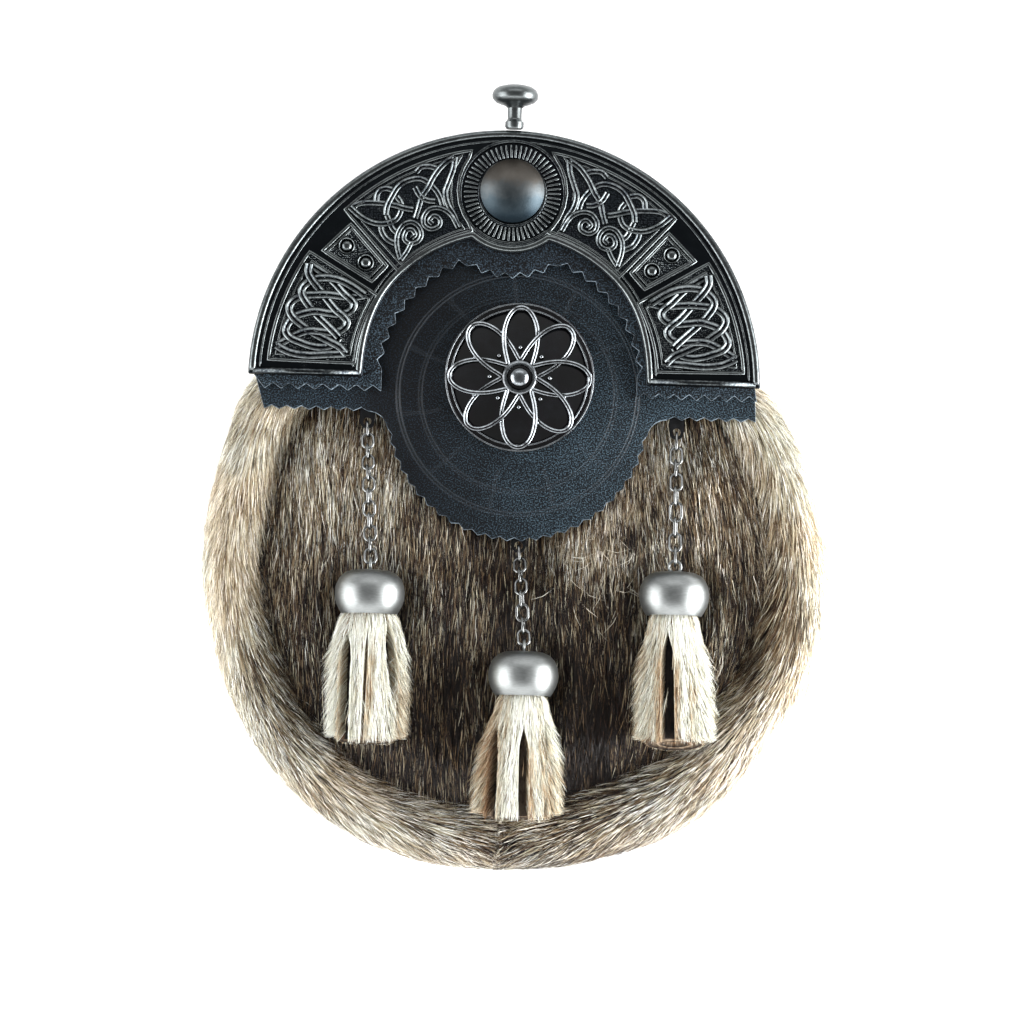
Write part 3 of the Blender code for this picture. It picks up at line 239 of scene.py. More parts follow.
class SporranSizes(bpy.types.PropertyGroup):
    """Sizes and counts that a user would change."""

    hair_length: bpy.props.FloatProperty(
        name="Hair length", description="Length of the pouch's guard hairs", default=0.0125, unit="LENGTH")
    hair_width: bpy.props.FloatProperty(
        name="Hair width", description="Width of a hair at its root", default=0.00027, unit="LENGTH")
    panel_hairs: bpy.props.IntProperty(
        name="Front hairs", description="Hairs on each half of the front", default=30000)
    roll_hairs: bpy.props.IntProperty(
        name="Roll hairs", description="Hairs on each half of the padded roll", default=37000)
    tassel_hairs: bpy.props.IntProperty(
        name="Tassel hairs", description="Hairs on each tassel", default=9000)
    reeds: bpy.props.IntProperty(
        name="Reeds", description="Short bars round the dome", default=58)
    grain_depth: bpy.props.FloatProperty(
        name="Grain depth", description="Strength of the leather's grain", default=0.35)


class SporranColours(bpy.types.PropertyGroup):
    """Base colours that a user would change."""

    nickel: bpy.props.FloatVectorProperty(
        name="Black nickel", description="Cast cantle in its hollows", default=(0.0175, 0.0213, 0.0250),
        subtype="COLOR")
    ridge: bpy.props.FloatVectorProperty(
        name="Worn ridges", description="Cast cantle on its ridges", default=(0.134, 0.149, 0.151),
        subtype="COLOR")
    pewter: bpy.props.FloatVectorProperty(
        name="Pewter", description="Caps", default=(0.305, 0.320, 0.318), subtype="COLOR")
    silver: bpy.props.FloatVectorProperty(
        name="Silver", description="Badge", default=(0.215, 0.235, 0.250), subtype="COLOR")
    floor: bpy.props.FloatVectorProperty(
        name="Floor", description="Pale floor", default=(0.95, 0.95, 0.95), subtype="COLOR")


# ---------------------------------------------------------------- shader maths


class Value:
    """A shader socket. Python's operators add Math nodes to its material."""

    def __init__(self, finish, socket):
        self.finish, self.socket = finish, socket

    def __add__(self, other):
        return self.finish.math("ADD", self, other)

    def __sub__(self, other):
        return self.finish.math("SUBTRACT", self, other)

    def __rsub__(self, other):
        return self.finish.math("SUBTRACT", other, self)

    def __mul__(self, other):
        return self.finish.math("MULTIPLY", self, other)

    def __truediv__(self, other):
        return self.finish.math("DIVIDE", self, other)

    def __pow__(self, other):
        return self.finish.math("POWER", self, other)

    __radd__, __rmul__ = __add__, __mul__


class Finish:
    """A material being built on its Principled shader."""

    def __init__(self, name, **constants):
        self.material = bpy.data.materials.new(name)
        self.material.use_nodes = True
        self.tree = self.material.node_tree
        self.shader = self.tree.nodes["Principled BSDF"]
        for socket, value in constants.items():
            found = self.shader.inputs[socket.replace("_", " ").title().replace("Ior", "IOR")]
            found.default_value = (*value, 1.0) if hasattr(value, "__len__") and len(value) == 3 else value

    def node(self, kind, settings=None, inputs=None, out=0):
        """Add a node: its settings first, then values or links on its sockets."""
        made = self.tree.nodes.new(kind)
        for key, value in (settings or {}).items():
            setattr(made, key, value)
        for key, value in (inputs or {}).items():
            if isinstance(value, Value):
                self.tree.links.new(value.socket, made.inputs[key])
            else:
                made.inputs[key].default_value = value
        return Value(self, made.outputs[out])

    def math(self, operation, *values):
        return self.node("ShaderNodeMath", {"operation": operation}, dict(enumerate(values)))

    def feed(self, **links):
        for socket, value in links.items():
            self.tree.links.new(value.socket, self.shader.inputs[socket.replace("_", " ").title()])
        return self.material

    def uv(self, name):
        return self.node("ShaderNodeUVMap", {"uv_map": name})

    def attribute(self, name):
        return self.node("ShaderNodeAttribute", {"attribute_name": name}, out=2)

    def axes(self, vector):
        made = self.node("ShaderNodeSeparateXYZ", None, {0: vector})
        return [Value(self, output) for output in made.socket.node.outputs]

    def place(self):
        return self.node("ShaderNodeTexCoord", out="Object")

    def noise(self, vector, scale, detail=2.0, rough=0.5, stretch=None):
        if stretch:
            vector = self.node("ShaderNodeMapping", None, {"Vector": vector, "Scale": stretch})
        return self.node("ShaderNodeTexNoise", None,
                         {"Vector": vector, "Scale": scale, "Detail": detail, "Roughness": rough})

    def ramp(self, value, *stops):
        """Shades or linear colours by value; a stop is (place, shade or colour)."""
        made = self.node("ShaderNodeValToRGB", None, {0: value})
        elements = made.socket.node.color_ramp.elements
        while len(elements) < len(stops):
            elements.new(0.5)
        for element, (at, colour) in zip(elements, stops):
            element.position = at
            element.color = (*colour, 1.0) if hasattr(colour, "__len__") else (colour, colour, colour, 1.0)
        return made

    def shades(self, value, *stops):
        """A ramp whose stops are (place, red, green, blue) in 0 to 255 steps."""
        return self.ramp(value, *((at, linear(*steps)) for at, *steps in stops))

    def mix(self, share, first, second, blend="MIX"):
        """Mix two colours; 6, 7 and 2 are the Mix node's colour sockets."""
        first, second = (c if isinstance(c, Value) else (*c, 1.0) for c in (first, second))
        return self.node("ShaderNodeMix", {"data_type": "RGBA", "blend_type": blend},
                         {0: share, 6: first, 7: second}, 2)

    def bump(self, height, strength, distance):
        return self.node("ShaderNodeBump", None,
                         {"Height": height, "Strength": strength, "Distance": distance})


def linear(*colour):
    """A colour of 0 to 255 steps as the eye sees it, in Blender's linear values."""
    return tuple((c / 255) ** 2.2 for c in colour)


# ---------------------------------------------------------------- finishes


def hair_colour(f, roots, tips, middle):
    """Across the map a hair's tone, up the map from root to tip."""
    tone, along, _ = f.axes(f.uv("hair"))
    share = f.ramp(along, (0.0, 0.0), middle, (1.0, 1.0))
    return f.mix(share, f.shades(tone, *roots), f.shades(tone, *tips))


def fur_finish(name):
    f = Finish(name, roughness=0.5, specular_ior_level=0.3)
    hair = hair_colour(
        f, ((0.0, 9, 6, 4), (0.4, 52, 41, 33), (0.7, 138, 123, 100), (1.0, 248, 245, 236)),
        ((0.0, 20, 12, 8), (0.2, 64, 45, 33), (0.45, 148, 127, 98), (0.7, 216, 210, 186),
         (1.0, 255, 254, 250)), (0.45, 0.7))
    warm = f.ramp(f.noise(f.place(), 42.0), (0.38, (1.0, 0.94, 0.86)), (0.60, (0.98, 1.0, 0.99)))
    return f.feed(base_color=f.mix(1.0, hair, warm, "MULTIPLY"))


def hide_finish(name):
    """The skin and packed underfur beneath the hairs."""
    f = Finish(name, roughness=0.9, specular_ior_level=0.1)
    blotch = f.noise(f.place(), 900.0, 3.0, 0.6, (1.0, 0.25, 1.0))
    return f.feed(base_color=f.shades(blotch, (0.3, 22, 17, 14), (0.7, 70, 60, 50)),
                  normal=f.bump(blotch, 0.5, 0.0006))


def tassel_finish(name):
    f = Finish(name, roughness=0.5, specular_ior_level=0.3)
    return f.feed(base_color=hair_colour(
        f, ((0.0, 26, 20, 17), (0.4, 102, 89, 71), (0.7, 170, 166, 147), (1.0, 224, 222, 212)),
        ((0.0, 48, 35, 28), (0.22, 152, 112, 80), (0.45, 204, 178, 142), (0.7, 224, 225, 209),
         (1.0, 252, 254, 251)), (0.5, 0.75)))


def strip_finish(name):
    """The strips' hide: tan beneath the hair, black leather in the slits."""
    f = Finish(name, roughness=0.7, specular_ior_level=0.2)
    patch = f.noise(f.place(), 900.0, 3.0, 0.6, (1.0, 0.3, 1.0))
    hide = f.shades(patch, (0.35, 120, 92, 68), (0.7, 196, 176, 150))
    black = f.shades(patch, (0.35, 8, 8, 9), (0.8, 44, 36, 32))
    return f.feed(base_color=f.mix(f.attribute("slit"), hide, black), normal=f.bump(patch, 0.4, 0.0004))


def leather_finish(name, embossed):
    """Black hide: fine grain with painted glints off it, soft creases, darker towards the crown, and on the
    flap the pressed rings and rays and painted shade on its left.
    """
    f = Finish(name, specular_ior_level=0.16)
    at = f.uv("front") if embossed else f.place()
    grain = f.node("ShaderNodeTexVoronoi", None, {"Vector": at, "Scale": 1700.0})
    fine, soft = f.noise(at, 3000.0, 3.0, 0.65), f.noise(at, 60.0, 3.0, 0.55)
    pores = f.noise(at, 2600.0, 1.0)
    # The specks' dark end is the grain's own pores; their pale end is painted glints of light off the
    # grain.
    painted_glint = (67, 84, 95) if embossed else (71, 86, 97)
    speck = f.shades(pores * 0.88 + soft * 0.12, (0.40, 2, 3, 5), (0.50, 9, 14, 19), (0.65, *painted_glint))
    _, upward, _ = f.axes(f.place())
    crown = f.ramp((upward - CANTLE_Y) * 10.0 + 0.5, (0.42, 1.0), (0.86, (0.40, 0.42, 0.45)))
    speck = f.mix(1.0, speck, crown, "MULTIPLY")
    rough = 0.42 + fine * 0.16 + soft * 0.08
    depth = bpy.context.scene.sporran_sizes.grain_depth
    normal = f.bump(grain * 0.55 + fine * 0.6 + soft, depth, 0.00024)
    if not embossed:
        return f.feed(base_color=speck, roughness=rough, normal=normal)
    u, v, _ = f.axes(at)
    # Painted shade: the flap much darker on its left, less so far out on the left wing, full at the right.
    left = f.ramp(u * 9.0 + 0.5, (0.06, (0.64, 0.68, 0.72)), (0.15, (0.12, 0.14, 0.17)),
                  (0.28, (0.16, 0.19, 0.23)), (0.6, 1.0))
    speck = f.mix(1.0, speck, left, "MULTIPLY")
    du, dv = u - EMBOSS_U, v - EMBOSS_V
    r = (du * du + dv * dv) ** 0.5
    lines = 0.0
    for radius, depth in EMBOSSED_RINGS:
        lines += f.math("MAXIMUM", 1.0 - f.math("ABSOLUTE", r - radius) / LINE_WIDTH, 0.0) * depth
    turn = f.math("ARCTAN2", dv, du) * (RAYS / (2 * math.pi))
    wave = f.math("PINGPONG", turn + soft * 0.3, 0.5)
    ray = f.math("MAXIMUM", 1.0 - f.math("ABSOLUTE", wave - 0.02) * 45.0, 0.0)
    lines += ray * f.math("GREATER_THAN", r, RAYS_FROM) * f.math("LESS_THAN", r, RAYS_TO) * RAY_DEPTH
    pressed = f.node("ShaderNodeBump", {"invert": True},
                     {"Height": lines, "Strength": 0.7, "Distance": 0.0004, "Normal": normal})
    pale = f.mix(lines * 0.22, speck, linear(84, 92, 100))
    return f.feed(base_color=pale, roughness=rough, normal=pressed)


def cut_edge_finish(name):
    """The pinked leather's cut edge, paler than its face: raw leather, with painted highlight where the
    edge catches the light.
    """
    f = Finish(name, roughness=0.7, specular_ior_level=0.25)
    fleck = f.noise(f.place(), 1500.0, 3.0, 0.6) * 0.5 + f.noise(f.place(), 220.0) * 0.5
    return f.feed(base_color=f.shades(fleck, (0.42, 24, 30, 35), (0.62, 140, 156, 168)))


def tab_finish(name):
    """Glazed black leather of the small tabs that hold the chains, painted darker than the other leathers
    for the shade they lie in.
    """
    f = Finish(name, roughness=0.4, specular_ior_level=0.3)
    cloud = f.noise(f.place(), 700.0, 3.0, 0.6)
    return f.feed(base_color=f.shades(cloud, (0.35, 6, 6, 7), (0.7, 24, 25, 27)),
                  normal=f.bump(cloud, 0.3, 0.0002))


def cast_finish(name, hollow, ridge, low_rough):
    """Cast metal: dark and glossy in the hollows, rubbed bright on the ridges, stippled on sunk ground."""
    f = Finish(name, metallic=1.0)
    ground = f.attribute("ground")
    cast, rubbed = f.noise(f.place(), 300.0, 4.0, 0.6), f.noise(f.place(), 1400.0, 3.0, 0.6)
    spots = f.node("ShaderNodeTexVoronoi", {"voronoi_dimensions": "2D"},
                   {"Vector": f.place(), "Scale": 1500.0, "Randomness": 0.7})
    dots = f.math("MAXIMUM", 1.0 - spots / 0.50, 0.0) * ground
    worn = f.ramp(f.attribute("ridge") + dots * 1.4 + (cast + rubbed - 1.0) * 1.3, (0.30, 0.0), (1.05, 1.0))
    return f.feed(base_color=f.mix(worn, hollow, ridge), roughness=low_rough + cast * 0.16 + ground * 0.12,
                  normal=f.bump(dots * 1.6 + cast * 0.25, 0.8, 0.00035))


def satin_finish(name, colour, rough, streak=(1.0, 1.0, 1.0)):
    """Brushed or polished metal with faint scratches."""
    f = Finish(name, metallic=1.0)
    brushed = f.noise(f.place(), 700.0, 4.0, 0.65, streak)
    cloud = f.noise(f.place(), 90.0, 3.0)
    share = f.ramp(brushed * 0.6 + cloud * 0.4, (0.35, 0.0), (0.65, 1.0))
    return f.feed(base_color=f.mix(share, [c * 0.72 for c in colour], colour),
                  roughness=rough + (brushed - 0.5) * 0.14, normal=f.bump(brushed, 0.12, 0.0001))


def dome_finish(name):
    """The dome's colour, a painted reflection and shade: brownish above, grey across the middle, blue-black
    below, clouded.
    """
    f = Finish(name, metallic=1.0)
    _, v, _ = f.axes(f.place())
    cloud = f.noise(f.place(), 260.0, 4.0, 0.65)
    up = (v - (CANTLE_Y + ROUNDEL_V)) / (2 * DOME_R) + 0.5 + (cloud - 0.5) * 0.3
    painted_reflection = f.ramp(up, (0.10, (0.012, 0.019, 0.025)), (0.36, (0.036, 0.048, 0.056)),
                    (0.56, (0.085, 0.094, 0.098)), (0.70, (0.090, 0.084, 0.076)),
                    (1.0, (0.060, 0.053, 0.045)))
    return f.feed(base_color=painted_reflection, roughness=0.44 + (cloud - 0.5) * 0.2,
                  normal=f.bump(cloud, 0.3, 0.0002))


def gloss_finish(name):
    f = Finish(name, specular_ior_level=0.6, coat_weight=0.5)
    cloud = f.noise(f.place(), 120.0, 4.0, 0.7)
    return f.feed(base_color=f.shades(cloud, (0.4, 8, 9, 11), (0.8, 24, 26, 30)),
                  roughness=0.10 + cloud * 0.10)


def floor_finish(name):
    f = Finish(name, roughness=0.9, specular_ior_level=0.1, emission_color=(1.0, 1.0, 1.0),
               emission_strength=0.22)
    colour = bpy.context.scene.sporran_colours.floor
    return f.feed(base_color=f.mix(f.noise(f.place(), 3.0) * 0.08, colour, [c * 0.94 for c in colour]))


def finish_of(make, name, *extra):
    """A finish made once, then shared."""
    return bpy.data.materials.get(name) or make(name, *extra)


# ---------------------------------------------------------------- modelling tools


def only(item):
    """Select one object and make it the active one."""
    bpy.ops.object.select_all(action="DESELECT")
    item.select_set(True)
    bpy.context.view_layer.objects.active = item
    return item


@contextmanager
def editing(item):
    """Everything of one mesh selected in edit mode."""
    only(item)
    bpy.ops.object.mode_set(mode="EDIT")
    bpy.ops.mesh.select_all(action="SELECT")
    yield
    bpy.ops.object.mode_set(mode="OBJECT")


def outward(item):
    """Merge doubles and turn every face outwards."""
    with editing(item):
        bpy.ops.mesh.remove_doubles(threshold=1e-6)
        bpy.ops.mesh.normals_make_consistent(inside=False)
    return item


def smoothed(item, degrees):
    """Smooth shading, except over edges that turn by more than this."""
    only(item)
    bpy.ops.object.shade_smooth_by_angle(angle=math.radians(degrees))
    return item


def lay_in_front(item):
    """Move a piece that was laid out in (u, v, w) to its place."""
    item.data.transform(FRONT)
    item.data.update()
    return item


def as_object(name, data):
    item = bpy.data.objects.new(name, data)
    bpy.context.scene.collection.objects.link(item)
    return item


def copied(item, matrix=None):
    """Another piece like this one, with its own mesh, moved by a matrix."""
    other = as_object(item.name, item.data.copy())
    if matrix:
        other.data.transform(matrix)
    return other


def torus(segments, radius, wire):
    bpy.ops.mesh.primitive_torus_add(major_segments=segments, minor_segments=10, major_radius=radius,
                                     minor_radius=wire)
    return bpy.context.object


def built(name, bm, degrees=None):
    """An object from a BMesh: its faces turned outwards, and smooth below an angle."""
    bmesh.ops.recalc_face_normals(bm, faces=bm.faces)
    mesh = bpy.data.meshes.new(name)
    bm.to_mesh(mesh)
    bm.free()
    item = as_object(name, mesh)
    return smoothed(item, degrees) if degrees else item


def walled(bm, first, second):
    """Join two closed rings of vertices with a wall of faces."""
    for k, vert in enumerate(first):
        after = (k + 1) % len(first)
        bm.faces.new((vert, first[after], second[after], second[k]))


def closed_sheet(name, outer, inner):
    """A closed wall between two grids of points."""
    rows, columns = outer.shape[:2]
    bm = bmesh.new()
    top, low = ([[bm.verts.new(p) for p in row] for row in grid] for grid in (outer, inner))
    for verts in (top, low):
        for i in range(rows - 1):
            for j in range(columns - 1):
                bm.faces.new((verts[i][j], verts[i + 1][j], verts[i + 1][j + 1], verts[i][j + 1]))
    edge = [(i, 0) for i in range(rows)] + [(rows - 1, j) for j in range(1, columns)]
    edge += [(i, columns - 1) for i in range(rows - 2, -1, -1)]
    edge += [(0, j) for j in range(columns - 2, 0, -1)]
    walled(bm, *([verts[i][j] for i, j in edge] for verts in (top, low)))
    return built(name, bm, 60)


def spun(name, profile, steps):
    """Turn a profile of (radius, height) about Z with the Spin tool."""
    mesh = bpy.data.meshes.new(name)
    edges = [(k, k + 1) for k in range(len(profile) - 1)]
    mesh.from_pydata([(r, 0.0, z) for r, z in profile], edges, [])
    item = as_object(name, mesh)
    with editing(item):
        bpy.ops.mesh.spin(steps=steps, angle=2 * math.pi, center=(0, 0, 0), axis=(0, 0, 1))
    return smoothed(outward(item), 40)


def head_and_foot(head, top, foot, bottom):
    """A profile whose first rows hang below its top and whose last rows stand on its bottom."""
    return [(r, top - down) for r, down in head] + [(r, bottom + up) for r, up in foot]


def from_curve(name, runs, **settings):
    """A mesh from a curve with its settings; a run is (points, closed)."""
    data = bpy.data.curves.new(name, "CURVE")
    for key, value in settings.items():
        setattr(data, key, value)
    for points, closed in runs:
        spline = data.splines.new("POLY")
        spline.points.add(len(points) - 1)
        for point, place in zip(spline.points, points):
            point.co = (*place, 1.0)
        spline.use_cyclic_u = closed
    only(as_object(name, data))
    bpy.ops.object.convert(target="MESH")
    return outward(bpy.context.object)


def plate(name, loops, low, thick, bevel=0.0, segments=2):
    """A flat plate from closed outlines, its edges rounded with a bevel."""
    item = from_curve(name, [(lifted(loop, 0.0), True) for loop in loops],
                      dimensions="2D", fill_mode="BOTH", extrude=thick / 2)
    item.data.transform(Matrix.Translation((0, 0, low + thick / 2)))
    if bevel:
        with editing(item):
            bpy.ops.mesh.dissolve_limited(angle_limit=math.radians(0.2))
        made = item.modifiers.new("rounded", "BEVEL")
        made.width, made.segments, made.angle_limit = bevel, segments, math.radians(60)
        bpy.ops.object.modifier_apply(modifier=made.name)
    return smoothed(item, 35)


def wire_run(name, runs, radius, resolution=2):
    """Round wires along runs of points."""
    item = from_curve(name, runs, dimensions="3D", twist_mode="Z_UP", fill_mode="FULL",
                      bevel_depth=radius, bevel_resolution=resolution, use_fill_caps=True)
    bpy.ops.object.shade_smooth()
    return item


def joined(name, items):
    """Join several mesh objects into one named piece."""
    bpy.ops.object.select_all(action="DESELECT")
    for item in items:
        item.select_set(True)
    bpy.context.view_layer.objects.active = items[0]
    bpy.ops.object.join()
    items[0].name = items[0].data.name = name
    return items[0]


def around(centre, radius, degrees):
    """A place at a distance from a centre, by degrees from the right."""
    turn = np.radians(degrees)
    return centre[0] + radius * math.cos(turn), centre[1] + radius * math.sin(turn)


def arc(centre, radius, start, end, count):
    return [around(centre, radius, degrees) for degrees in np.linspace(start, end, count)]


def off_roundel(u, v, reach):
    """A place, moved out to this distance from the roundel if it is nearer."""
    away = Vector((u - ROUNDEL_U, v - ROUNDEL_V))
    if away.length < reach:
        away = away.normalized() * reach
        u, v = ROUNDEL_U + away.x, ROUNDEL_V + away.y
    return u, v


def lifted(points, w):
    return [(p[0], p[1], w) for p in points]


def smoothly(low, high, value):
    share = np.clip((value - low) / (high - low), 0.0, 1.0)
    return share * share * (3 - 2 * share)


def finished(item, material, slot, *nodes):
    """Give a piece its finish and its place in the frame."""
    if item.data.materials:
        item.data.materials[0] = material
    else:
        item.data.materials.append(material)
    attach(item, "root")
    if nodes:
        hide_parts(*nodes)
    return item


def with_cut_edge(item, edge):
    """Give the steep faces of a plate that lies flat the finish of its cut edge."""
    for _ in range(2):  # the first is a stand-in for the face's own finish
        item.data.materials.append(edge)
    for face in item.data.polygons:
        face.material_index = int(abs(face.normal.z) < 0.80)
    return item


def coordinates(mesh):
    co = np.empty(len(mesh.vertices) * 3, np.float32)
    mesh.vertices.foreach_get("co", co)
    return co.reshape(-1, 3)


def front_map(item):
    """A map of (u, v) in metres, for patterns laid out in the front plane."""
    index = np.empty(len(item.data.loops), np.int32)
    item.data.loops.foreach_get("vertex_index", index)
    layer = item.data.uv_layers.new(name="front")
    layer.uv.foreach_set("vector", coordinates(item.data)[index, :2].ravel())
    return item


def evenly(points, count_for):
    """Evenly spaced points along a run, as many as count_for gives for its length."""
    lengths = np.concatenate(([0.0], np.cumsum(np.linalg.norm(np.diff(points, axis=0), axis=1))))
    at = np.linspace(0, lengths[-1], count_for(lengths[-1]))
    return np.stack([np.interp(at, lengths, column) for column in points.T], 1)


def smooth_line(points, spacing=0.00045):
    """A rounded run through a few points, evenly spaced."""
    p = np.array(points, float)
    p = np.vstack((p[0] * 2 - p[1], p, p[-1] * 2 - p[-2]))
    dense = []
    for a, b, c, d in zip(p, p[1:], p[2:], p[3:]):
        for t in np.linspace(0, 1, 12, endpoint=False):
            dense.append(0.5 * (2 * b + (c - a) * t + (2 * a - 5 * b + 4 * c - d) * t * t
                                + (3 * b - a - 3 * c + d) * t ** 3))
    return evenly(np.array(dense + [p[-2]]), lambda length: max(4, int(length / spacing) + 1))


def pinked(points, pitch, depth):
    """Cut a zigzag into a run of points, with the piece on its left."""
    run = evenly(np.array(points, float), lambda length: 2 * max(1, round(length / pitch)) + 1)
    along = np.gradient(run, axis=0)
    along /= np.linalg.norm(along, axis=1)[:, None]
    step = (depth * (np.arange(len(run)) % 2))[:, None]
    return [tuple(q) for q in run + np.stack((-along[:, 1], along[:, 0]), 1) * step]


# ---------------------------------------------------------------- the pouch's surfaces


def down_table(column, angle):
    """Smooth curve through one column of the pouch's table."""
    xs, ys = POUCH[:, 0], POUCH[:, column]
    slopes = np.gradient(ys, xs)
    slopes[0] = 0.0
    x = np.clip(np.abs(angle), 0.0, xs[-1])
    k = np.clip(np.searchsorted(xs, x) - 1, 0, len(xs) - 2)
    wide = xs[k + 1] - xs[k]
    t = (x - xs[k]) / wide
    return ((1 + 2 * t) * (1 - t) ** 2 * ys[k] + t * (1 - t) ** 2 * wide * slopes[k]
            + t * t * (3 - 2 * t) * ys[k + 1] + t * t * (t - 1) * wide * slopes[k + 1])


def station(angle):
    """Outline radius, roll width and crest height, by degrees from straight down, left negative."""
    radius, width = (np.where(angle < 0, down_table(k, angle), down_table(k + 1, angle)) for k in (1, 3))
    return radius, width, down_table(5, angle)


SECTION = smooth_line(ROLL, 0.01)
SECTION_AT = np.linspace(0, 1, len(SECTION))
SECTION_RUN = np.gradient(SECTION, axis=0)


def roll_point(angle, s, height):
    """Points on the roll: degrees round it, 0 to 1 up its section, height above the fur's mean surface."""
    radius, width, crest = station(angle)
    across = np.interp(s, SECTION_AT, SECTION[:, 0]) * width
    up = np.interp(s, SECTION_AT, SECTION[:, 1]) * crest
    along_a = np.interp(s, SECTION_AT, SECTION_RUN[:, 0]) * width
    along_b = np.interp(s, SECTION_AT, SECTION_RUN[:, 1]) * crest
    size = np.hypot(along_a, along_b)
    along_a, along_b = along_a / size, along_b / size
    across = across - along_b * height
    up = up + along_a * height
    turn = np.radians(angle)
    reach = radius - across
    place = np.stack((reach * np.sin(turn), POUCH_Y - reach * np.cos(turn), up), -1)
    normal = np.stack((along_b * np.sin(turn), -along_b * np.cos(turn), along_a), -1)
    return place, normal


def flap_gap(u, v):
    """Signed distance from the flap's edge, negative under the leather."""
    drop = np.hypot(u - DROP_U, v - DROP_V) - DROP_R
    wing = np.maximum(np.maximum(WING_LEFT - u, u - WING_RIGHT), WING_V - v)
    return np.minimum(drop, wing)


def front_height(x, y):
    """Mean height of the front fur."""
    u, v = x - CANTLE_X, y - CANTLE_Y
    angle = np.clip(np.degrees(np.arctan2(x, POUCH_Y - y)), -SHOULDER_ANGLE, SHOULDER_ANGLE)
    radius, width, crest = station(angle)
    edge = radius - width - np.hypot(x, y - POUCH_Y)
    rise = smoothly(PILE_START, PILE_START + PILE_RUN, flap_gap(u, v))
    top = UNDER_LEATHER + (PILE - UNDER_LEATHER) * rise
    for row in STRANDS:
        for du, dv, reach, depth in ((row.tab_u, row.tab_v - 0.0005, 0.0160, 0.0034),
                                     (row.cap_u, row.cap_v, 0.0170, 0.0052),
                                     (row.cap_u, row.cap_v - 0.0150, 0.0140, 0.0020)):
            top = top - depth * (1 - smoothly(reach * 0.55, reach, np.hypot(u - du, v - dv)))
    inside = smoothly(0.0, CREASE_RUN, edge)
    plane = FRONT_Z - v * math.tan(LEAN)
    return crest * CREASE_UP * (1 - inside) + (plane + top) * inside, edge


def lattice(seed, x, y):
    """Smooth noise from -1 to 1 on a seeded lattice."""
    table = np.random.default_rng(seed).uniform(-1, 1, (64, 64))
    i, j = np.floor(x).astype(int), np.floor(y).astype(int)
    fx, fy = x - i, y - j
    fx, fy = fx * fx * (3 - 2 * fx), fy * fy * (3 - 2 * fy)
    a, b = table[i % 64, j % 64], table[(i + 1) % 64, j % 64]
    c, d = table[i % 64, (j + 1) % 64], table[(i + 1) % 64, (j + 1) % 64]
    return (a * (1 - fx) + b * fx) * (1 - fy) + (c * (1 - fx) + d * fx) * fy


# ---------------------------------------------------------------- hairs

# The front's tone by metres down from the cantle's centre
PANEL_FADE = ((0.0, 0.030, 0.050, 0.066, 0.090, 0.106), (0.40, 0.28, 0.11, 0.02, -0.04, -0.10))
# Lighter and darker places: (u, v) and reach both ways in millimetres, and what they add to the tone
PANEL_PATCHES = (
    (-53.2, -16.9, 12.0, 8.4, 0.04), (-34.1, -45.7, 3.0, 21.0, 0.25), (-25.5, -41.0, 4.8, 12.0, -0.16),
    (-15.5, -62.0, 7.0, 11.0, -0.03), (-15.0, -96.0, 9.0, 17.0, -0.20), (-58.8, -85.0, 7.0, 22.0, -0.03),
    (-38.3, -116.4, 12.0, 9.0, -0.04), (25.8, -49.5, 11.0, 9.4, 0.34), (39.0, -45.0, 3.0, 3.0, -0.60),
    (28.0, -70.0, 12.0, 9.0, -0.10), (28.0, -102.0, 12.0, 22.0, -0.33), (72.0, -75.0, 8.0, 13.0, 0.07),
    (2.0, -62.0, 7.0, 14.0, -0.12), (67.0, -29.0, 8.0, 14.0, -0.12), (-55.0, -49.0, 10.0, 10.0, -0.05),
)
ROLL_PATCHES = (
    (-76.6, -38.9, 5.4, 4.2, -0.16), (-82.2, -53.5, 4.2, 2.4, -0.12), (-69.3, -84.8, 5.8, 9.8, -0.24),
    (-57.6, -100.1, 6.6, 7.0, -0.20), (-30.5, -125.2, 15.0, 6.6, 0.06), (3.5, -138.0, 9.0, 4.0, -0.32),
    (83.4, -54.0, 4.8, 17.0, -0.24), (78.0, -80.0, 4.6, 12.0, -0.30), (77.1, -25.9, 4.0, 13.5, -0.12),
)
# What the outer side adds is painted light, strongest on the right where the fur is lit white.
ROLL_TONES = np.array((  # degrees from straight down, tone, what the outer side adds
    (-134, 0.68, 0.06), (-115, 0.67, 0.06), (-100, 0.71, 0.08), (-85, 0.69, 0.16), (-70, 0.54, 0.40),
    (-58, 0.48, 0.50), (-40, 0.48, 0.44), (-22, 0.46, 0.22), (-6, 0.34, 0.06), (6, 0.26, 0.04),
    (22, 0.14, 0.11), (38, 0.34, 0.44), (54, 0.47, 0.48), (68, 0.56, 1.30), (88, 0.52, 1.45),
    (110, 0.66, 1.10), (134, 0.74, 0.50),
))
STEPS = np.array((0.0, 0.34, 0.68, 1.0))  # places along a hair
# A hair's heights at those places, over the front, over the roll and over a tassel
PANEL_RISE, ROLL_RISE = (-0.0030, -0.0007, 0.0003, 0.0), (-0.0030, -0.0007, 0.0002, 0.0)
TASSEL_RISE = (-0.0010, 0.0008, 0.0014, 0.0014)
TILT = 0.8  # most that a ribbon turns about its hair, in radians
ROLL_SECTION = 0.052  # length of the roll's section
TASSEL_HAIR_WIDTH, TASSEL_BED, STRIP_BED, SLIT_DEEP = 0.00021, 0.0022, 0.0020, 0.0016


def patched(patches, x, y):
    """What the patches add to each hair's tone."""
    u, v = (x - CANTLE_X) * 1000, (y - CANTLE_Y) * 1000
    return sum(tone * np.exp(-((u - at_u) / reach_u) ** 2 - ((v - at_v) / reach_v) ** 2)
               for at_u, at_v, reach_u, reach_v, tone in patches)


def ticked(rng, count):
    """Each hair's own departure: most a little, some pale, a few dark."""
    own = rng.normal(0, 0.15, count)
    draw = rng.random(count)
    return own + 0.42 * (draw < 0.20) - 0.34 * (draw > 0.78)


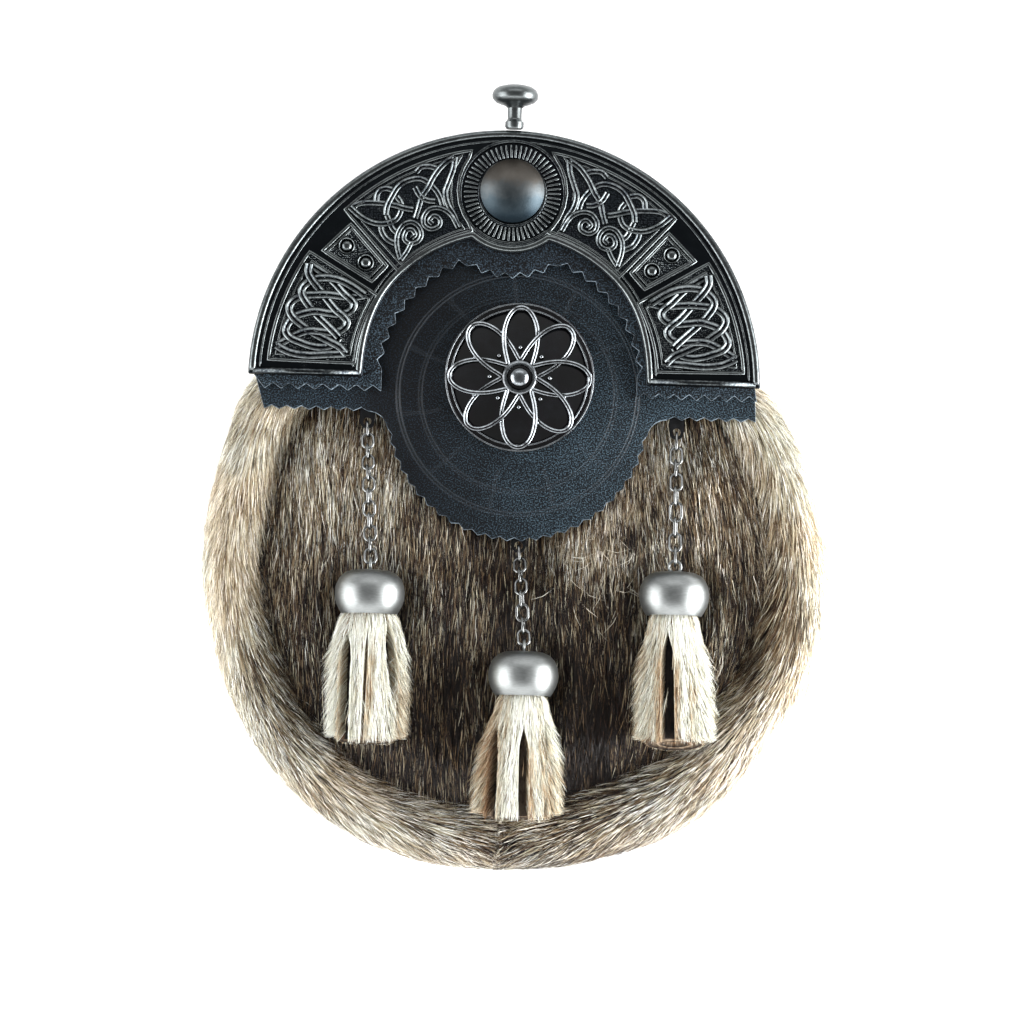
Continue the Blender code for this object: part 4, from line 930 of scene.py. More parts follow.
def hair_mesh(name, points, side, width, tone):
    """Ribbons of two quads and a tip through (n, 4, 3) points, mapped by tone and by root to tip."""
    count = len(points)
    share = np.array((1.0, 0.85, 0.55))[None, :, None] * width[:, None, None] / 2
    left, right = points[:, :3] - side[:, :3] * share, points[:, :3] + side[:, :3] * share
    verts = np.empty((count, 7, 3), np.float32)
    verts[:, 0:6:2], verts[:, 1:6:2], verts[:, 6] = left, right, points[:, 3]
    base = (np.arange(count) * 7)[:, None]
    loops = (base + np.array((0, 1, 3, 2, 2, 3, 5, 4, 4, 5, 6))[None]).astype(np.int32)
    mesh = bpy.data.meshes.new(name)
    mesh.vertices.add(count * 7)
    mesh.vertices.foreach_set("co", verts.ravel())
    mesh.loops.add(count * 11)
    mesh.loops.foreach_set("vertex_index", loops.ravel())
    mesh.polygons.add(count * 3)
    starts = (np.arange(count) * 11)[:, None] + np.array((0, 4, 8))[None]
    mesh.polygons.foreach_set("loop_start", starts.astype(np.int32).ravel())
    mesh.update(calc_edges=True)
    up = np.array((0.0, 0.0, 0.33, 0.33, 0.66, 0.66, 1.0))
    aside = np.array((-1, 1, -1, 1, -1, 1, 0)) * 0.003
    index = loops - base
    maps = np.stack((np.clip(tone, 0.01, 0.99)[:, None] + aside[index], 0.01 + 0.98 * up[index]), -1)
    for map_name in ("hair", "OFBake"):
        mesh.uv_layers.new(name=map_name).uv.foreach_set("vector", maps.astype(np.float32).ravel())
    mesh.polygons.foreach_set("use_smooth", np.ones(count * 3, bool))
    mesh.validate()
    return as_object(name, mesh)


def sides_of(points, normals, tilt):
    """Directions across the ribbons: at right angles to the hair and tilted about it."""
    along = np.gradient(points, axis=1)
    along /= np.linalg.norm(along, axis=2)[:, :, None] + 1e-12
    flat = np.cross(along, normals)
    flat /= np.linalg.norm(flat, axis=2)[:, :, None] + 1e-12
    up = np.cross(flat, along)
    turn = tilt[:, None, None]
    return flat * np.cos(turn) + up * np.sin(turn)


def bridged(x, v):
    """How far the hairs close the crease: fully at the front's upper right, nowhere else."""
    return smoothly(0.030, 0.050, x) * smoothly(-0.085, -0.050, v)


def panel_hairs(name, hand, count, rng, length, width):
    """Hairs of one half of the front: they lie straight down in loose locks."""
    x = rng.uniform(*sorted((0.0, hand * FRONT_HALF)), count * 3)
    y = rng.uniform(POUCH_Y - FRONT_REACH, PANEL_TOP, count * 3)
    u, v = x - CANTLE_X, y - CANTLE_Y
    _, edge = front_height(x, y)
    gap = flap_gap(u, v)
    keep = (edge > 0.0002) & (gap > -0.006)
    x, y, u, v, edge, gap = (q[keep][:count] for q in (x, y, u, v, edge, gap))
    n = len(x)
    long_ = length * rng.uniform(0.6, 1.25, n)
    lock = lattice(3, x / 0.0026, y / 0.022) + 0.6 * lattice(4, x / 0.0012, y / 0.014)
    lean = 0.05 * lattice(5, x / 0.020, y / 0.03) + 0.06 * lock + rng.normal(0, 0.05, n)
    lean += 0.24 * smoothly(0.020, 0.070, x) * smoothly(-0.065, -0.020, v)
    lean -= 0.40 * smoothly(0.025, 0.065, x) * (1 - smoothly(-0.085, -0.050, v))
    lean += 0.16 * smoothly(0.030, 0.070, -x) * (1 - smoothly(-0.080, -0.040, v))
    stay = np.clip((edge + 0.004) / long_, 0.25, 1.0)
    curl = rng.normal(0, 0.07, n)
    stray = (rng.random(n) < 0.012) & (np.hypot((u - 0.029) / 0.014, (v + 0.052) / 0.014) < 1)
    lean, curl = lean + stray * rng.normal(0.3, 0.5, n), curl + stray * rng.normal(0, 0.6, n)
    points = np.empty((n, 4, 3))
    free = smoothly(0.0005, 0.0080, gap)
    ends = rng.uniform(-0.0006, 0.0010, n) + 0.0004 * lock + 0.0012 * stray
    bridge = bridged(x, v)
    for k, t in enumerate(STEPS):
        away = long_ * t * np.where(v < -0.05, stay, 1.0)
        turn = lean + curl * t
        px, py = x + away * np.sin(turn), y - away * np.cos(turn)
        pz, now_edge = front_height(px, py)
        rise = PANEL_RISE[k] + (ends * t if k > 1 else 0.0)
        pz = pz + bridge * 0.0062 * (1 - smoothly(0.0, 0.0110, now_edge))
        near = smoothly(-0.001, 0.008, flap_gap(px - CANTLE_X, py - CANTLE_Y))
        points[:, k] = np.stack((px, py, pz + np.where(rise > 0, rise * near * free, rise)), -1)
    normals = np.zeros_like(points)
    normals[..., 2] = 1.0
    side = sides_of(points, normals, rng.uniform(-TILT, TILT, n))
    tone = np.interp(-v, *PANEL_FADE) + 0.10 * lattice(7, x / 0.0060, y / 0.040) + 1.2 * ticked(rng, n)
    tone += 0.12 * lattice(8, x / 0.0016, y / 0.022) + 0.08 * lattice(9, x / 0.0007, y / 0.012)
    tone += patched(PANEL_PATCHES, points[:, 2, 0], points[:, 2, 1])
    # Painted shade: darker along the crease on the left, and just below the flap's edge.
    tone -= (np.where(x < 0.02, 0.24, 0.0) * (1 - smoothly(0.0, 0.0045, edge))
             + 0.10 * (1 - smoothly(0.0, 0.004, gap)))
    tone = np.where(stray, 0.85, tone)
    return hair_mesh(name, points, side, width * rng.uniform(0.6, 1.2, n), tone)


def roll_hairs(name, hand, count, rng, length, width):
    """Hairs of one half of the roll: they sweep along it to the bottom and a little outwards."""
    low = SEAM_ANGLE * hand
    n = count
    a = rng.uniform(low, SHOULDER_ANGLE - 0.5, n) * hand
    s = rng.uniform(0.0, 1.0, n) ** 0.8 * 0.83 + 0.17
    radius, _, _ = station(a)
    long_ = length * rng.uniform(0.7, 1.3, n)
    ring_at = np.abs(a) * radius * math.pi / 180
    lock = lattice(13, ring_at / 0.014, s * 18) + 0.6 * lattice(14, ring_at / 0.009, s * 40)
    out = 0.18 + 0.07 * lock + rng.normal(0, 0.06, n) - 0.30 * smoothly(0.66, 1.0, s)
    out += 0.16 * (1 - smoothly(10.0, 60.0, np.abs(a))) - 0.10 * smoothly(80.0, 125.0, np.abs(a))
    out += 0.25 * (1 - smoothly(0.15, 0.45, s))
    points, normals = np.empty((2, n, 4, 3))
    ends = rng.uniform(-0.0005, 0.0013, n) + 0.0004 * lock + 0.0006 * (rng.random(n) < 0.08)
    seam = rng.uniform(-0.6, 0.2, n)
    short = np.radians(a * hand - low - seam) * radius / np.maximum(np.cos(out), 0.4)
    long_ = np.minimum(long_, np.maximum(short, 0.0025))
    turned = np.radians(a)
    bridge = bridged(radius * np.sin(turned), POUCH_Y - radius * np.cos(turned) - CANTLE_Y)
    for k, t in enumerate(STEPS):
        away = long_ * t
        fallen = np.degrees(away * np.cos(out) / np.maximum(radius - 0.005, 0.02))
        pa = np.maximum(a * hand - fallen, low + seam) * hand
        ps = s - away * np.sin(out) / ROLL_SECTION
        over = np.clip(ps - 1.0, 0.0, 0.08) * ROLL_SECTION
        ps = np.clip(ps, 0.12, 1.0)
        rise = ROLL_RISE[k] + (ends * t if k > 1 else 0.0)
        rise = rise + bridge * 0.0050 * smoothly(0.74, 1.0, ps)
        place, normal = roll_point(np.clip(pa, -SHOULDER_ANGLE, SHOULDER_ANGLE), ps, rise)
        turned = np.radians(pa)
        place += np.stack((-np.sin(turned), np.cos(turned), 0.0 * pa), -1) * over[:, None]
        place[..., 2] = np.maximum(place[..., 2], 0.0006)
        points[:, k], normals[:, k] = place, normal
    side = sides_of(points, normals, rng.uniform(-TILT, TILT, n))
    at, tones, outer = ROLL_TONES.T
    tone = np.interp(a, at, tones)
    # Painted light: the outer side of the roll paler, most on the right.
    tone += np.interp(a, at, outer) * (1 - smoothly(0.42, 0.82, s))
    tone += 0.09 * lattice(17, ring_at / 0.024, s * 10) + 0.10 * lattice(18, ring_at / 0.016, s * 34)
    # The last term is painted shade, darker towards the crease.
    tone += 0.08 * lattice(19, ring_at / 0.010, s * 80) - 0.08 * smoothly(0.85, 1.0, s)
    tone += ticked(rng, n) * (1.6 - 0.75 * smoothly(50.0, 90.0, np.abs(a)))
    tone -= 0.30 * (1 - smoothly(0.4, 2.6, np.abs(a - SEAM_ANGLE)))
    tone += patched(ROLL_PATCHES, points[:, 2, 0], points[:, 2, 1])
    return hair_mesh(name, points, side, width * rng.uniform(0.6, 1.25, n), tone)


def tassel_width(tassel, t):
    """Width of a tassel at a place down it: narrow under the cap, round shoulders, then nearly straight."""
    share = 1 - (1 - np.clip(t, 0.0, 1.0)) ** tassel.rounded
    return tassel.top_width + (tassel.hem_width - tassel.top_width) * share


def tassel_surface(row, tassel, turn, t, out):
    """Points round a tassel: turn from the right side over the front, t from cap to hem."""
    half_u = tassel_width(tassel, t) / 2
    half_w = 0.0066 - 0.0012 * t
    u = row.cap_u + tassel.shift * t + (half_u + out) * np.cos(turn)
    v = row.cap_v - CAP_HEIGHT / 2 + 0.0012 - tassel.length * t
    v = v + tassel.slant * np.sin(turn) * smoothly(0.6, 1.0, t)
    w = CAP_W + (tassel.hem_w - CAP_W) * t + (half_w + out) * np.sin(turn)
    return np.stack((u, v, w), -1)


def tassel_reach(tassel, t):
    """Mean radius of a tassel at a place down it."""
    return tassel_width(tassel, t) / 4 + 0.0031


def slit_half(slit, t):
    """Half of a slit's width, pointed where it starts and where it ends."""
    return (slit.wide / 2 * smoothly(slit.start, slit.start + 0.25, t)
            * (1 - smoothly(slit.end - 0.3, slit.end, t)))


def slit_away(slit, tassel, turn, t):
    """How far round the tassel a place is from a slit, in radians, more than nothing to its left."""
    share = (slit.at + slit.lean * (t - 0.5)) / (tassel_width(tassel, t) / 2)
    middle = np.arccos(np.clip(share, -0.95, 0.95))
    return (turn * slit.face - middle + math.pi) % (2 * math.pi) - math.pi, middle * slit.face


def tassel_hairs(row, tassel, count, rng, material):
    """Hairs of one tassel: they hang straight, flare at the sides and keep clear of its slits."""
    turn = rng.uniform(0, 2 * math.pi, count)
    t0 = rng.uniform(-0.06, 0.93, count)
    long_ = rng.uniform(0.0045, 0.0085, count) / tassel.length
    drift = rng.normal(0, 0.00040, count) + 0.0004 * lattice(31 + ord(row.side[0]), turn * 6, t0 * 4)
    side_on = np.abs(np.cos(turn))
    flare = rng.uniform(0.0002, 0.0018, count) * (1 - 0.5 * smoothly(0.75, 1.0, t0)) * (0.4 + 0.6 * side_on)
    flare += 0.0038 * rng.random(count) ** 2 * smoothly(0.55, 0.95, side_on) * (1 - 0.6 * t0)
    flare *= 0.15 + 0.85 * smoothly(0.0, 0.35, t0)
    stray = rng.random(count) < 0.01
    hem = 1.0 + rng.uniform(-0.01, 0.035, count) - 0.07 * smoothly(0.6, 1.0, side_on)
    hem -= 0.045 * smoothly(0.0, 0.5, -np.sin(turn))
    points, normals = np.empty((2, count, 4, 3))
    tone = 0.87 + 0.42 * ticked(rng, count) + 0.13 * lattice(41, turn * 9, t0 * 4)
    # Painted shade: darker at the sides, towards the back, and by dim_left and dim_right on the side each
    # tassel turns from the light.
    tone -= 0.08 * side_on + 0.15 * smoothly(0.0, 0.4, -np.sin(turn))
    tone -= tassel.dim_left * smoothly(0.1, 0.9, -np.cos(turn))
    tone -= tassel.dim_right * smoothly(0.6, 0.95, np.cos(turn)) * smoothly(0.2, 0.6, t0)
    for slit in tassel.slits + BACK_SLITS:
        away, _ = slit_away(slit, tassel, turn, t0 + 0.08)
        clear = np.abs(away) * tassel_reach(tassel, t0) - slit_half(slit, t0 + 0.1)
        edge = 1 - smoothly(0.0005, 0.0023, clear)
        shade = np.where(away > 0, slit.left, slit.right)
        shade = shade * smoothly(slit.start - 0.1, slit.start + 0.25, t0)
        tone -= 0.52 * shade * edge * rng.uniform(0.5, 1.1, count)
    across_0 = tassel_width(tassel, t0) * np.cos(turn)
    straight = 1 - smoothly(0.55, 0.95, side_on)
    for k, t in enumerate(STEPS):
        at = np.minimum(t0 + long_ * t, hem)
        reach = tassel_reach(tassel, at)
        plumb = np.clip(across_0 / tassel_width(tassel, at), -1, 1)
        hung = np.cos(turn) * (1 - straight) + plumb * straight
        across = np.arccos(np.clip(hung, -1, 1)) * np.where(np.sin(turn) < 0, -1, 1) + drift * t / reach
        for slit in tassel.slits + BACK_SLITS:
            first, _ = slit_away(slit, tassel, turn, t0)
            now, middle = slit_away(slit, tassel, across, at)
            half = slit_half(slit, at) / reach
            close = (np.abs(now) < half) & (np.abs(first) < 1.0) & ~stray
            across = np.where(close, middle + np.where(first > 0, half, -half) * slit.face, across)
        rise = -TASSEL_BED + TASSEL_RISE[k] + flare * t
        points[:, k] = tassel_surface(row, tassel, across, at, rise)
        normals[:, k] = np.stack((np.cos(turn), np.zeros(count), np.sin(turn)), -1)
    side = sides_of(points, normals, rng.uniform(-TILT, TILT, count))
    width = TASSEL_HAIR_WIDTH * rng.uniform(0.6, 1.2, count)
    item = hair_mesh(f"tassel_hair_{row.side}", points, side, width, tone)
    return finished(lay_in_front(item), material, "tassel_fur")


# ---------------------------------------------------------------- woven relief


def crossings(paths):
    """Where the paths cross: (path, place along it) pairs, each place in points."""
    found = []
    for i, p in enumerate(paths):
        for j in range(i, len(paths)):
            q = paths[j]
            a, b = p[:-1, None], p[1:, None]
            c, d = q[None, :-1], q[None, 1:]
            r, s = b - a, d - c
            cross = r[..., 0] * s[..., 1] - r[..., 1] * s[..., 0]
            cross = np.where(np.abs(cross) < 1e-14, 1e-14, cross)
            gap = c - a
            t = (gap[..., 0] * s[..., 1] - gap[..., 1] * s[..., 0]) / cross
            k = (gap[..., 0] * r[..., 1] - gap[..., 1] * r[..., 0]) / cross
            hit = (t >= 0) & (t < 1) & (k >= 0) & (k < 1)
            for m, n in np.argwhere(hit):
                if i == j and n - m < 4:
                    continue
                if min(m, len(p) - m) < 3 and i != j and min(n, len(q) - n) < 3:
                    continue
                found.append(((i, m + t[m, n]), (j, n + k[m, n])))
    return found


def woven_heights(paths, swing):
    """Raise and sink the paths so that they pass over and under each other in turn."""
    found = crossings(paths)
    passes = [[] for _ in paths]
    for number, (first, second) in enumerate(found):
        passes[first[0]].append((first[1], number, 0))
        passes[second[0]].append((second[1], number, 1))
    for row in passes:
        row.sort()
    level = {}
    for start in range(len(paths)):
        if not passes[start] or (passes[start][0][1], passes[start][0][2]) in level:
            continue
        queue = [(start, 0, 1)]
        while queue:
            path, place, sign = queue.pop()
            row = passes[path]
            if (row[place][1], row[place][2]) in level:
                continue
            for k, (_, number, part) in enumerate(row):
                if (number, part) in level:
                    continue
                mine = sign * (-1) ** (k - place)
                level[(number, part)] = mine
                other = found[number][1 - part]
                there = [n for n, entry in enumerate(passes[other[0]]) if entry[1:] == (number, 1 - part)]
                if (number, 1 - part) not in level:
                    queue.append((other[0], there[0], -mine))
    heights = []
    for path, row in zip(paths, passes):
        at = [place for place, _, _ in row]
        value = [level[(number, part)] * swing for _, number, part in row]
        if not at:
            heights.append(np.zeros(len(path)))
            continue
        beyond = 0.0 if len(at) == 1 else None
        heights.append(np.interp(np.arange(len(path)), at, value, left=beyond, right=beyond))
    return heights


BAND_HALF = 0.8
# Section of a band with that half width: place across it and height; other widths scale it
BAND = ((-0.80, -0.75), (-0.80, 0.05), (-0.62, 0.30), (-0.42, 0.38), (-0.22, 0.26), (0.0, 0.06),
        (0.22, 0.26), (0.42, 0.38), (0.62, 0.30), (0.80, 0.05), (0.80, -0.75))


def band_piece(name, runs, base):
    """Sweep a grooved band along flat runs: (points, heights, closed, half width, how worn it is)."""
    bm = bmesh.new()
    worn = bm.verts.layers.float.new("ridge")
    shape = np.array(BAND)
    ridge = smoothly(0.12, 0.34, shape[:, 1]) * 0.88
    for points, heights, closed, half, wear in runs:
        if closed:
            along = np.roll(points, -1, 0) - np.roll(points, 1, 0)
        else:
            along = np.gradient(points, axis=0)
        along /= np.linalg.norm(along, axis=1)[:, None] + 1e-12
        rings = []
        for (u, v), (du, dv), height in zip(points, along, heights):
            ring = []
            for (a, b), share in zip(shape * half / BAND_HALF, ridge):
                vert = bm.verts.new((u + dv * a, v - du * a, base + height + b))
                vert[worn] = share * wear
                ring.append(vert)
            rings.append(ring)
        for first, second in zip(rings, rings[1:] + rings[:1] if closed else rings[1:]):
            walled(bm, first, second)
        if not closed:
            bm.faces.new(rings[0])
            bm.faces.new(rings[-1][::-1])
    return built(name, bm, 50)


def mirrored(points):
    return [(MIRROR_U - u, v) for u, v in points]


def in_metres(points):
    return np.array(points, float) / 1000.0


def cantle_inner_edge(inset=0.0, count=80):
    """The inner edge from the right end over the dip to the left end, moved into the metal."""
    edge = []
    for degrees in np.linspace(-89.0, 89.0, count):
        r = CANTLE_IN_TOP + (CANTLE_IN_END - CANTLE_IN_TOP) * smoothly(45.0, 88.0, abs(degrees)) + inset
        turn = math.radians(degrees)
        u, v = off_roundel(r * math.sin(turn), r * math.cos(turn), DIP_R - inset)
        edge.append((u, max(v, CANTLE_END_V + inset)))
    return edge


def marked(item, low=1.0, high=2.0, ground=0.0, most=1.0):
    """Attributes for the cast finish.

    ridge rises from 0 to most between two heights, by default far above every piece. ground is 1
    where the metal is stippled.
    """
    ridge = smoothly(low, high, coordinates(item.data)[:, 2]) * most
    for name, values in (("ridge", ridge), ("ground", np.full(len(ridge), ground))):
        layer = item.data.attributes.new(name, "FLOAT", "POINT")
        layer.data.foreach_set("value", values.astype(np.float32))
    return item


def rim(name, runs, radius, base, most=1.0, resolution=3):
    """Round raised lines, bright along their tops."""
    wires = wire_run(name, runs, radius, resolution)
    return marked(wires, base + radius * 0.35, base + radius * 0.97, 0.0, most)


# ---------------------------------------------------------------- operators


class SPORRAN_OT_pouch(bpy.types.Operator):
    """Lay the hide of the pouch: the padded roll's two halves and the front."""

    bl_idname = "sporran.pouch"
    bl_label = "Pouch hide"

    def execute(self, context):
        material = finish_of(hide_finish, "under_fur")
        for side, hand in SIDES:
            angles = np.linspace(HIDE_SEAM[side], SHOULDER_ANGLE, 70) * hand
            a, s = np.meshgrid(angles, np.linspace(0.0, 1.0, 34), indexing="ij")
            outer, normal = roll_point(a, s, -ROLL_BED * smoothly(0.12, 0.26, s))
            outer[..., 2] = np.maximum(outer[..., 2], 0.0)
            inner = outer - normal * ROLL_HIDE
            inner[..., 2] = np.maximum(inner[..., 2], ROLL_HIDE)
            finished(closed_sheet(f"hide_roll_{side}", outer, inner), material, "fur", f"gusset_{side}")
        x = np.linspace(-FRONT_HALF, FRONT_HALF, 90)
        rows = []
        for y in np.linspace(POUCH_Y - FRONT_HIDE_REACH, PANEL_TOP, 90):
            _, edge = front_height(x, y)
            inside = x[edge > 0.0008]
            xs = np.linspace(inside.min(), inside.max(), 90)
            zs, _ = front_height(xs, y)
            rows.append(np.stack((xs, np.full_like(xs, y), zs - FRONT_BED), -1))
        outer = np.array(rows)
        item = closed_sheet("hide_front", outer, outer - np.array((0.0, 0.0, FRONT_HIDE)))
        finished(item, material, "fur", "fur_front_panel")
        return {"FINISHED"}


class SPORRAN_OT_fur(bpy.types.Operator):
    """Grow the pouch's hairs as ribbons: four pieces, left and right of the front and of the roll."""

    bl_idname = "sporran.fur"
    bl_label = "Fur"

    def execute(self, context):
        sizes = context.scene.sporran_sizes
        share = 1.0
        material = finish_of(fur_finish, "fur_hair")
        rng = np.random.default_rng(SEED)
        for part, grow, count in (("front", panel_hairs, sizes.panel_hairs),
                                  ("roll", roll_hairs, sizes.roll_hairs)):
            for side, hand in SIDES:
                item = grow(f"fur_{part}_{side}", hand, int(count * share), rng,
                            sizes.hair_length, sizes.hair_width)
                finished(item, material, "fur")
        return {"FINISHED"}


class SPORRAN_OT_leathers(bpy.types.Operator):
    """Cut the pinked flap and underlay, and give the rear leathers and the tabs their finish."""

    bl_idname = "sporran.leathers"
    bl_label = "Leathers"

    def execute(self, context):
        embossed = finish_of(leather_finish, "flap_leather", True)
        plain = finish_of(leather_finish, "plain_leather", False)
        glazed = finish_of(tab_finish, "tab_leather")
        fillet_v = WING_V - FILLET
        reach = math.sqrt((DROP_R + FILLET) ** 2 - (fillet_v - DROP_V) ** 2)
        meet = math.degrees(math.atan2(fillet_v - DROP_V, reach))
        left = arc((DROP_U - reach, fillet_v), FILLET, 90.0, -meet, 9)
        right = arc((DROP_U + reach, fillet_v), FILLET, 180.0 + meet, 90.0, 9)
        drop = arc((DROP_U, DROP_V), DROP_R, 180.0 - meet, 360.0 + meet, 120)
        runs = ([(WING_LEFT, WING_V), (left[0][0], WING_V)], left[1:-1], drop, right[1:-1],
                [(right[-1][0], WING_V), (WING_RIGHT, WING_V)])
        flap = self.leaf("flap", runs, 2.0, 0.0, FLAP_THICK, FLAP_TEETH)
        finished(flap, embossed, "leather", "leather_flap")
        inner = [off_roundel(*place, UNDERLAY_DIP_R)
                 for place in arc((UNDERLAY_IN_U, UNDERLAY_IN_V), UNDERLAY_IN_R, 5.0, 175.0, 120)]
        runs = ([(WING_LEFT, UNDERLAY_V), (inner[-1][0], UNDERLAY_V)], [], inner[::-1], [],
                [(inner[0][0], UNDERLAY_V), (WING_RIGHT, UNDERLAY_V)])
        underlay = self.leaf("underlay", runs, 1.0, UNDERLAY_W, UNDERLAY_THICK, UNDERLAY_TEETH)
        finished(underlay, plain, "leather", "leather_underlay")
        tabs = [f"chain_tab_{row.side}" for row in STRANDS]
        for nodes, material in ((("back_panel", "ring_tab_left", "ring_tab_right"), plain), (tabs, glazed)):
            for node in nodes:
                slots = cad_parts[node].data.materials
                slots.clear()
                slots.append(material)
        return {"FINISHED"}

    @staticmethod
    def leaf(name, runs, crown_from, low, thick, teeth):
        """Cut a leather: its lower edge in runs that are pinked and plain in turn, and its crown."""
        edge = arc((0.0, 0.0), FLAP_CROWN, crown_from, 180.0 - crown_from, 72)
        for number, run in reversed(list(enumerate(runs))):
            edge = (list(run) if number % 2 else pinked(run, *teeth)) + edge
        item = plate(name, [edge], low, thick, 0.00035)
        return lay_in_front(front_map(with_cut_edge(item, finish_of(cut_edge_finish, "cut_edge"))))


class SPORRAN_OT_cantle(bpy.types.Operator):
    """Cast the cantle: plate, rims, framed panels, knotwork, bosses and the reeded ring, in one piece."""

    bl_idname = "sporran.cantle"
    bl_label = "Cantle"

    def execute(self, context):
        top = CANTLE_TOP
        end = math.degrees(math.asin(CANTLE_END_V / CANTLE_R))
        crown = arc((0.0, 0.0), CANTLE_R, end, 180.0 - end, 120)
        outer, outer_line = (arc((0.0, 0.0), CANTLE_R - inset, start, 180.0 - start, 140)
                             for inset, start in ((0.0012, 1.5), (0.0034, 2.4)))
        inner, inner_line = (cantle_inner_edge(inset, 120) for inset in (0.0013, 0.0031))
        bars = [([(hand * u, CANTLE_END_V + 0.0012, top - 0.0003)
                  for u in (CANTLE_IN_END + 0.0012, CANTLE_R - 0.0014)], False) for _, hand in SIDES]
        parts = [marked(plate("ground", [crown + cantle_inner_edge()], CANTLE_W, CANTLE_THICK, 0.0005, 3))]
        thin = [(lifted(run, top), False) for run in (outer_line, inner_line)]
        for name, runs, radius, sunk, most, resolution in (
                ("outer_rim", [(lifted(outer, top - 0.0002), False)], 0.0012, 0.0004, 0.95, 4),
                ("inner_rim", [(lifted(inner, top - 0.0003), False)], 0.0011, 0.0006, 1.0, 4),
                ("end_bars", bars, 0.0011, 0.0004, 0.5, 4), ("thin_rims", thin, 0.00042, 0.0, 1.0, 2)):
            parts.append(rim(name, runs, radius, top - sunk, most, resolution))
        parts += self.frames(top) + [self.knots(top)] + self.bosses(top)
        parts += self.roundel(top, context.scene.sporran_sizes.reeds)
        colours = context.scene.sporran_colours
        nickel = finish_of(cast_finish, "black_nickel", colours.nickel, colours.ridge, 0.16)
        finished(lay_in_front(joined("cast_cantle", parts)), nickel, "blackened_metal", "cantle")
        return {"FINISHED"}

    @staticmethod
    def outline(corners, shrink, off_reeds):
        """A panel's frame: its corners joined along the cantle's arcs where they share a radius."""
        p = in_metres(corners)
        centre = p.mean(0)
        p = p + (centre - p) / np.linalg.norm(centre - p, axis=1)[:, None] * shrink
        line = []
        for a, b in zip(p, np.roll(p, -1, 0)):
            ra, rb = np.hypot(*a), np.hypot(*b)
            ta, tb = math.atan2(a[1], a[0]), math.atan2(b[1], b[0])
            if abs(ra - rb) < 0.0035 and abs(ta - tb) > 0.18:
                for t in np.linspace(0, 1, 16, endpoint=False):
                    r, turn = ra + (rb - ra) * t, ta + (tb - ta) * t
                    line.append((r * math.cos(turn), r * math.sin(turn)))
            else:
                line += [tuple(a + (b - a) * t) for t in np.linspace(0, 1, 8, endpoint=False)]
        return [off_roundel(*place, RING_R + 0.0006 + shrink) for place in line] if off_reeds else line

    def frames(self, top):
        """Each panel's stippled floor and its two raised borders."""
        parts, frames, borders = [], [], []
        for corners, inside, stipple, off_reeds in PANELS:
            for shape in (corners, mirrored(corners)):
                floor = plate("floor", [self.outline(shape, 0.0004, off_reeds)], top - 0.0002, 0.0003)
                parts.append(marked(floor, ground=stipple))
                for runs, shrink in ((frames, 0.0), (borders, inside)):
                    runs.append((lifted(self.outline(shape, shrink, off_reeds), top + 0.0001), True))
        return parts + [rim("frames", frames, 0.00066, top - 0.0002),
                        rim("borders", borders, 0.00044, top - 0.0001)]

    @staticmethod
    def knots(top):
        """The woven bands and the spirals of both halves."""
        runs = []
        for turned in (list, mirrored):
            for group, swing, half, wear in KNOTS:
                paths = [smooth_line(in_metres(turned(p))) for p in group]
                for path, height in zip(paths, woven_heights(paths, swing)):
                    runs.append((path, height, False, half, wear))
            for p in SPIRALS:
                path = smooth_line(in_metres(turned(p)), 0.00035)
                runs.append((path, np.full(len(path), SPIRAL_RISE), False, SPIRAL_HALF, SPIRAL_WEAR))
        return band_piece("knots", runs, top + 0.00038)

    @staticmethod
    def bosses(top):
        """Four bosses, turned once and copied."""
        boss = spun("boss", BOSS_PROFILE, 28)
        places = [Matrix.Translation((u / 1000, v / 1000, top)) for u, v in list(BOSSES) + mirrored(BOSSES)]
        parts = [marked(copied(boss, place), top + 0.0002, top + 0.0008, 0.0, 0.85) for place in places]
        bpy.data.objects.remove(boss)
        return parts

    @staticmethod
    def roundel(top, reeds):
        """The short bars round the dome, and the ring on either side of them."""
        centre = (ROUNDEL_U, REEDS_V)
        bars = [([(*around(centre, r, 360.0 * k / reeds), top + h) for r, h in REED_LINE], False)
                for k in range(reeds)]
        rings = [(lifted(arc(centre, r, 0.0, 355.0, 72), top + h), True)
                 for r, h in ((RING_R, 0.0001), (0.0099, 0.0))]
        return [rim("reeds", bars, REED_WIRE, top + 0.0004, 1.1, 1), rim("rings", rings, 0.00062, top, 0.6)]


class SPORRAN_OT_dome(bpy.types.Operator):
    """Shape the satin dome in the cantle's ring and the knob above the crown."""

    bl_idname = "sporran.dome"
    bl_label = "Dome and knob"

    def execute(self, context):
        sphere = (DOME_R ** 2 + DOME_RISE ** 2) / (2 * DOME_RISE)
        profile = [(DOME_R * t, math.sqrt(sphere ** 2 - (DOME_R * t) ** 2) - sphere + DOME_RISE + 0.0004)
                   for t in np.linspace(0.0, 1.0, 14)]
        dome = spun("satin_dome", profile + [(DOME_R, 0.0), (0.0, 0.0)], 64)
        dome.data.transform(Matrix.Translation((ROUNDEL_U, ROUNDEL_V, CANTLE_TOP + LEAF_GAP)))
        finished(lay_in_front(dome), finish_of(dome_finish, "dome_metal"), "pewter", "roundel_dome")
        foot = math.sqrt(CANTLE_R ** 2 - STUD_FOOT_R ** 2) + LEAF_GAP + 0.0001
        stud = spun("knob", head_and_foot(KNOB_HEAD, KNOB_TOP, KNOB_FOOT, foot), 48)
        stud.data.transform(Matrix.Translation((ROUNDEL_U, 0.0, STUD_W)) @ UPRIGHT)
        polished = finish_of(satin_finish, "knob_metal", KNOB_METAL, 0.30)
        finished(lay_in_front(stud), polished, "blackened_metal", "closure_stud")
        return {"FINISHED"}


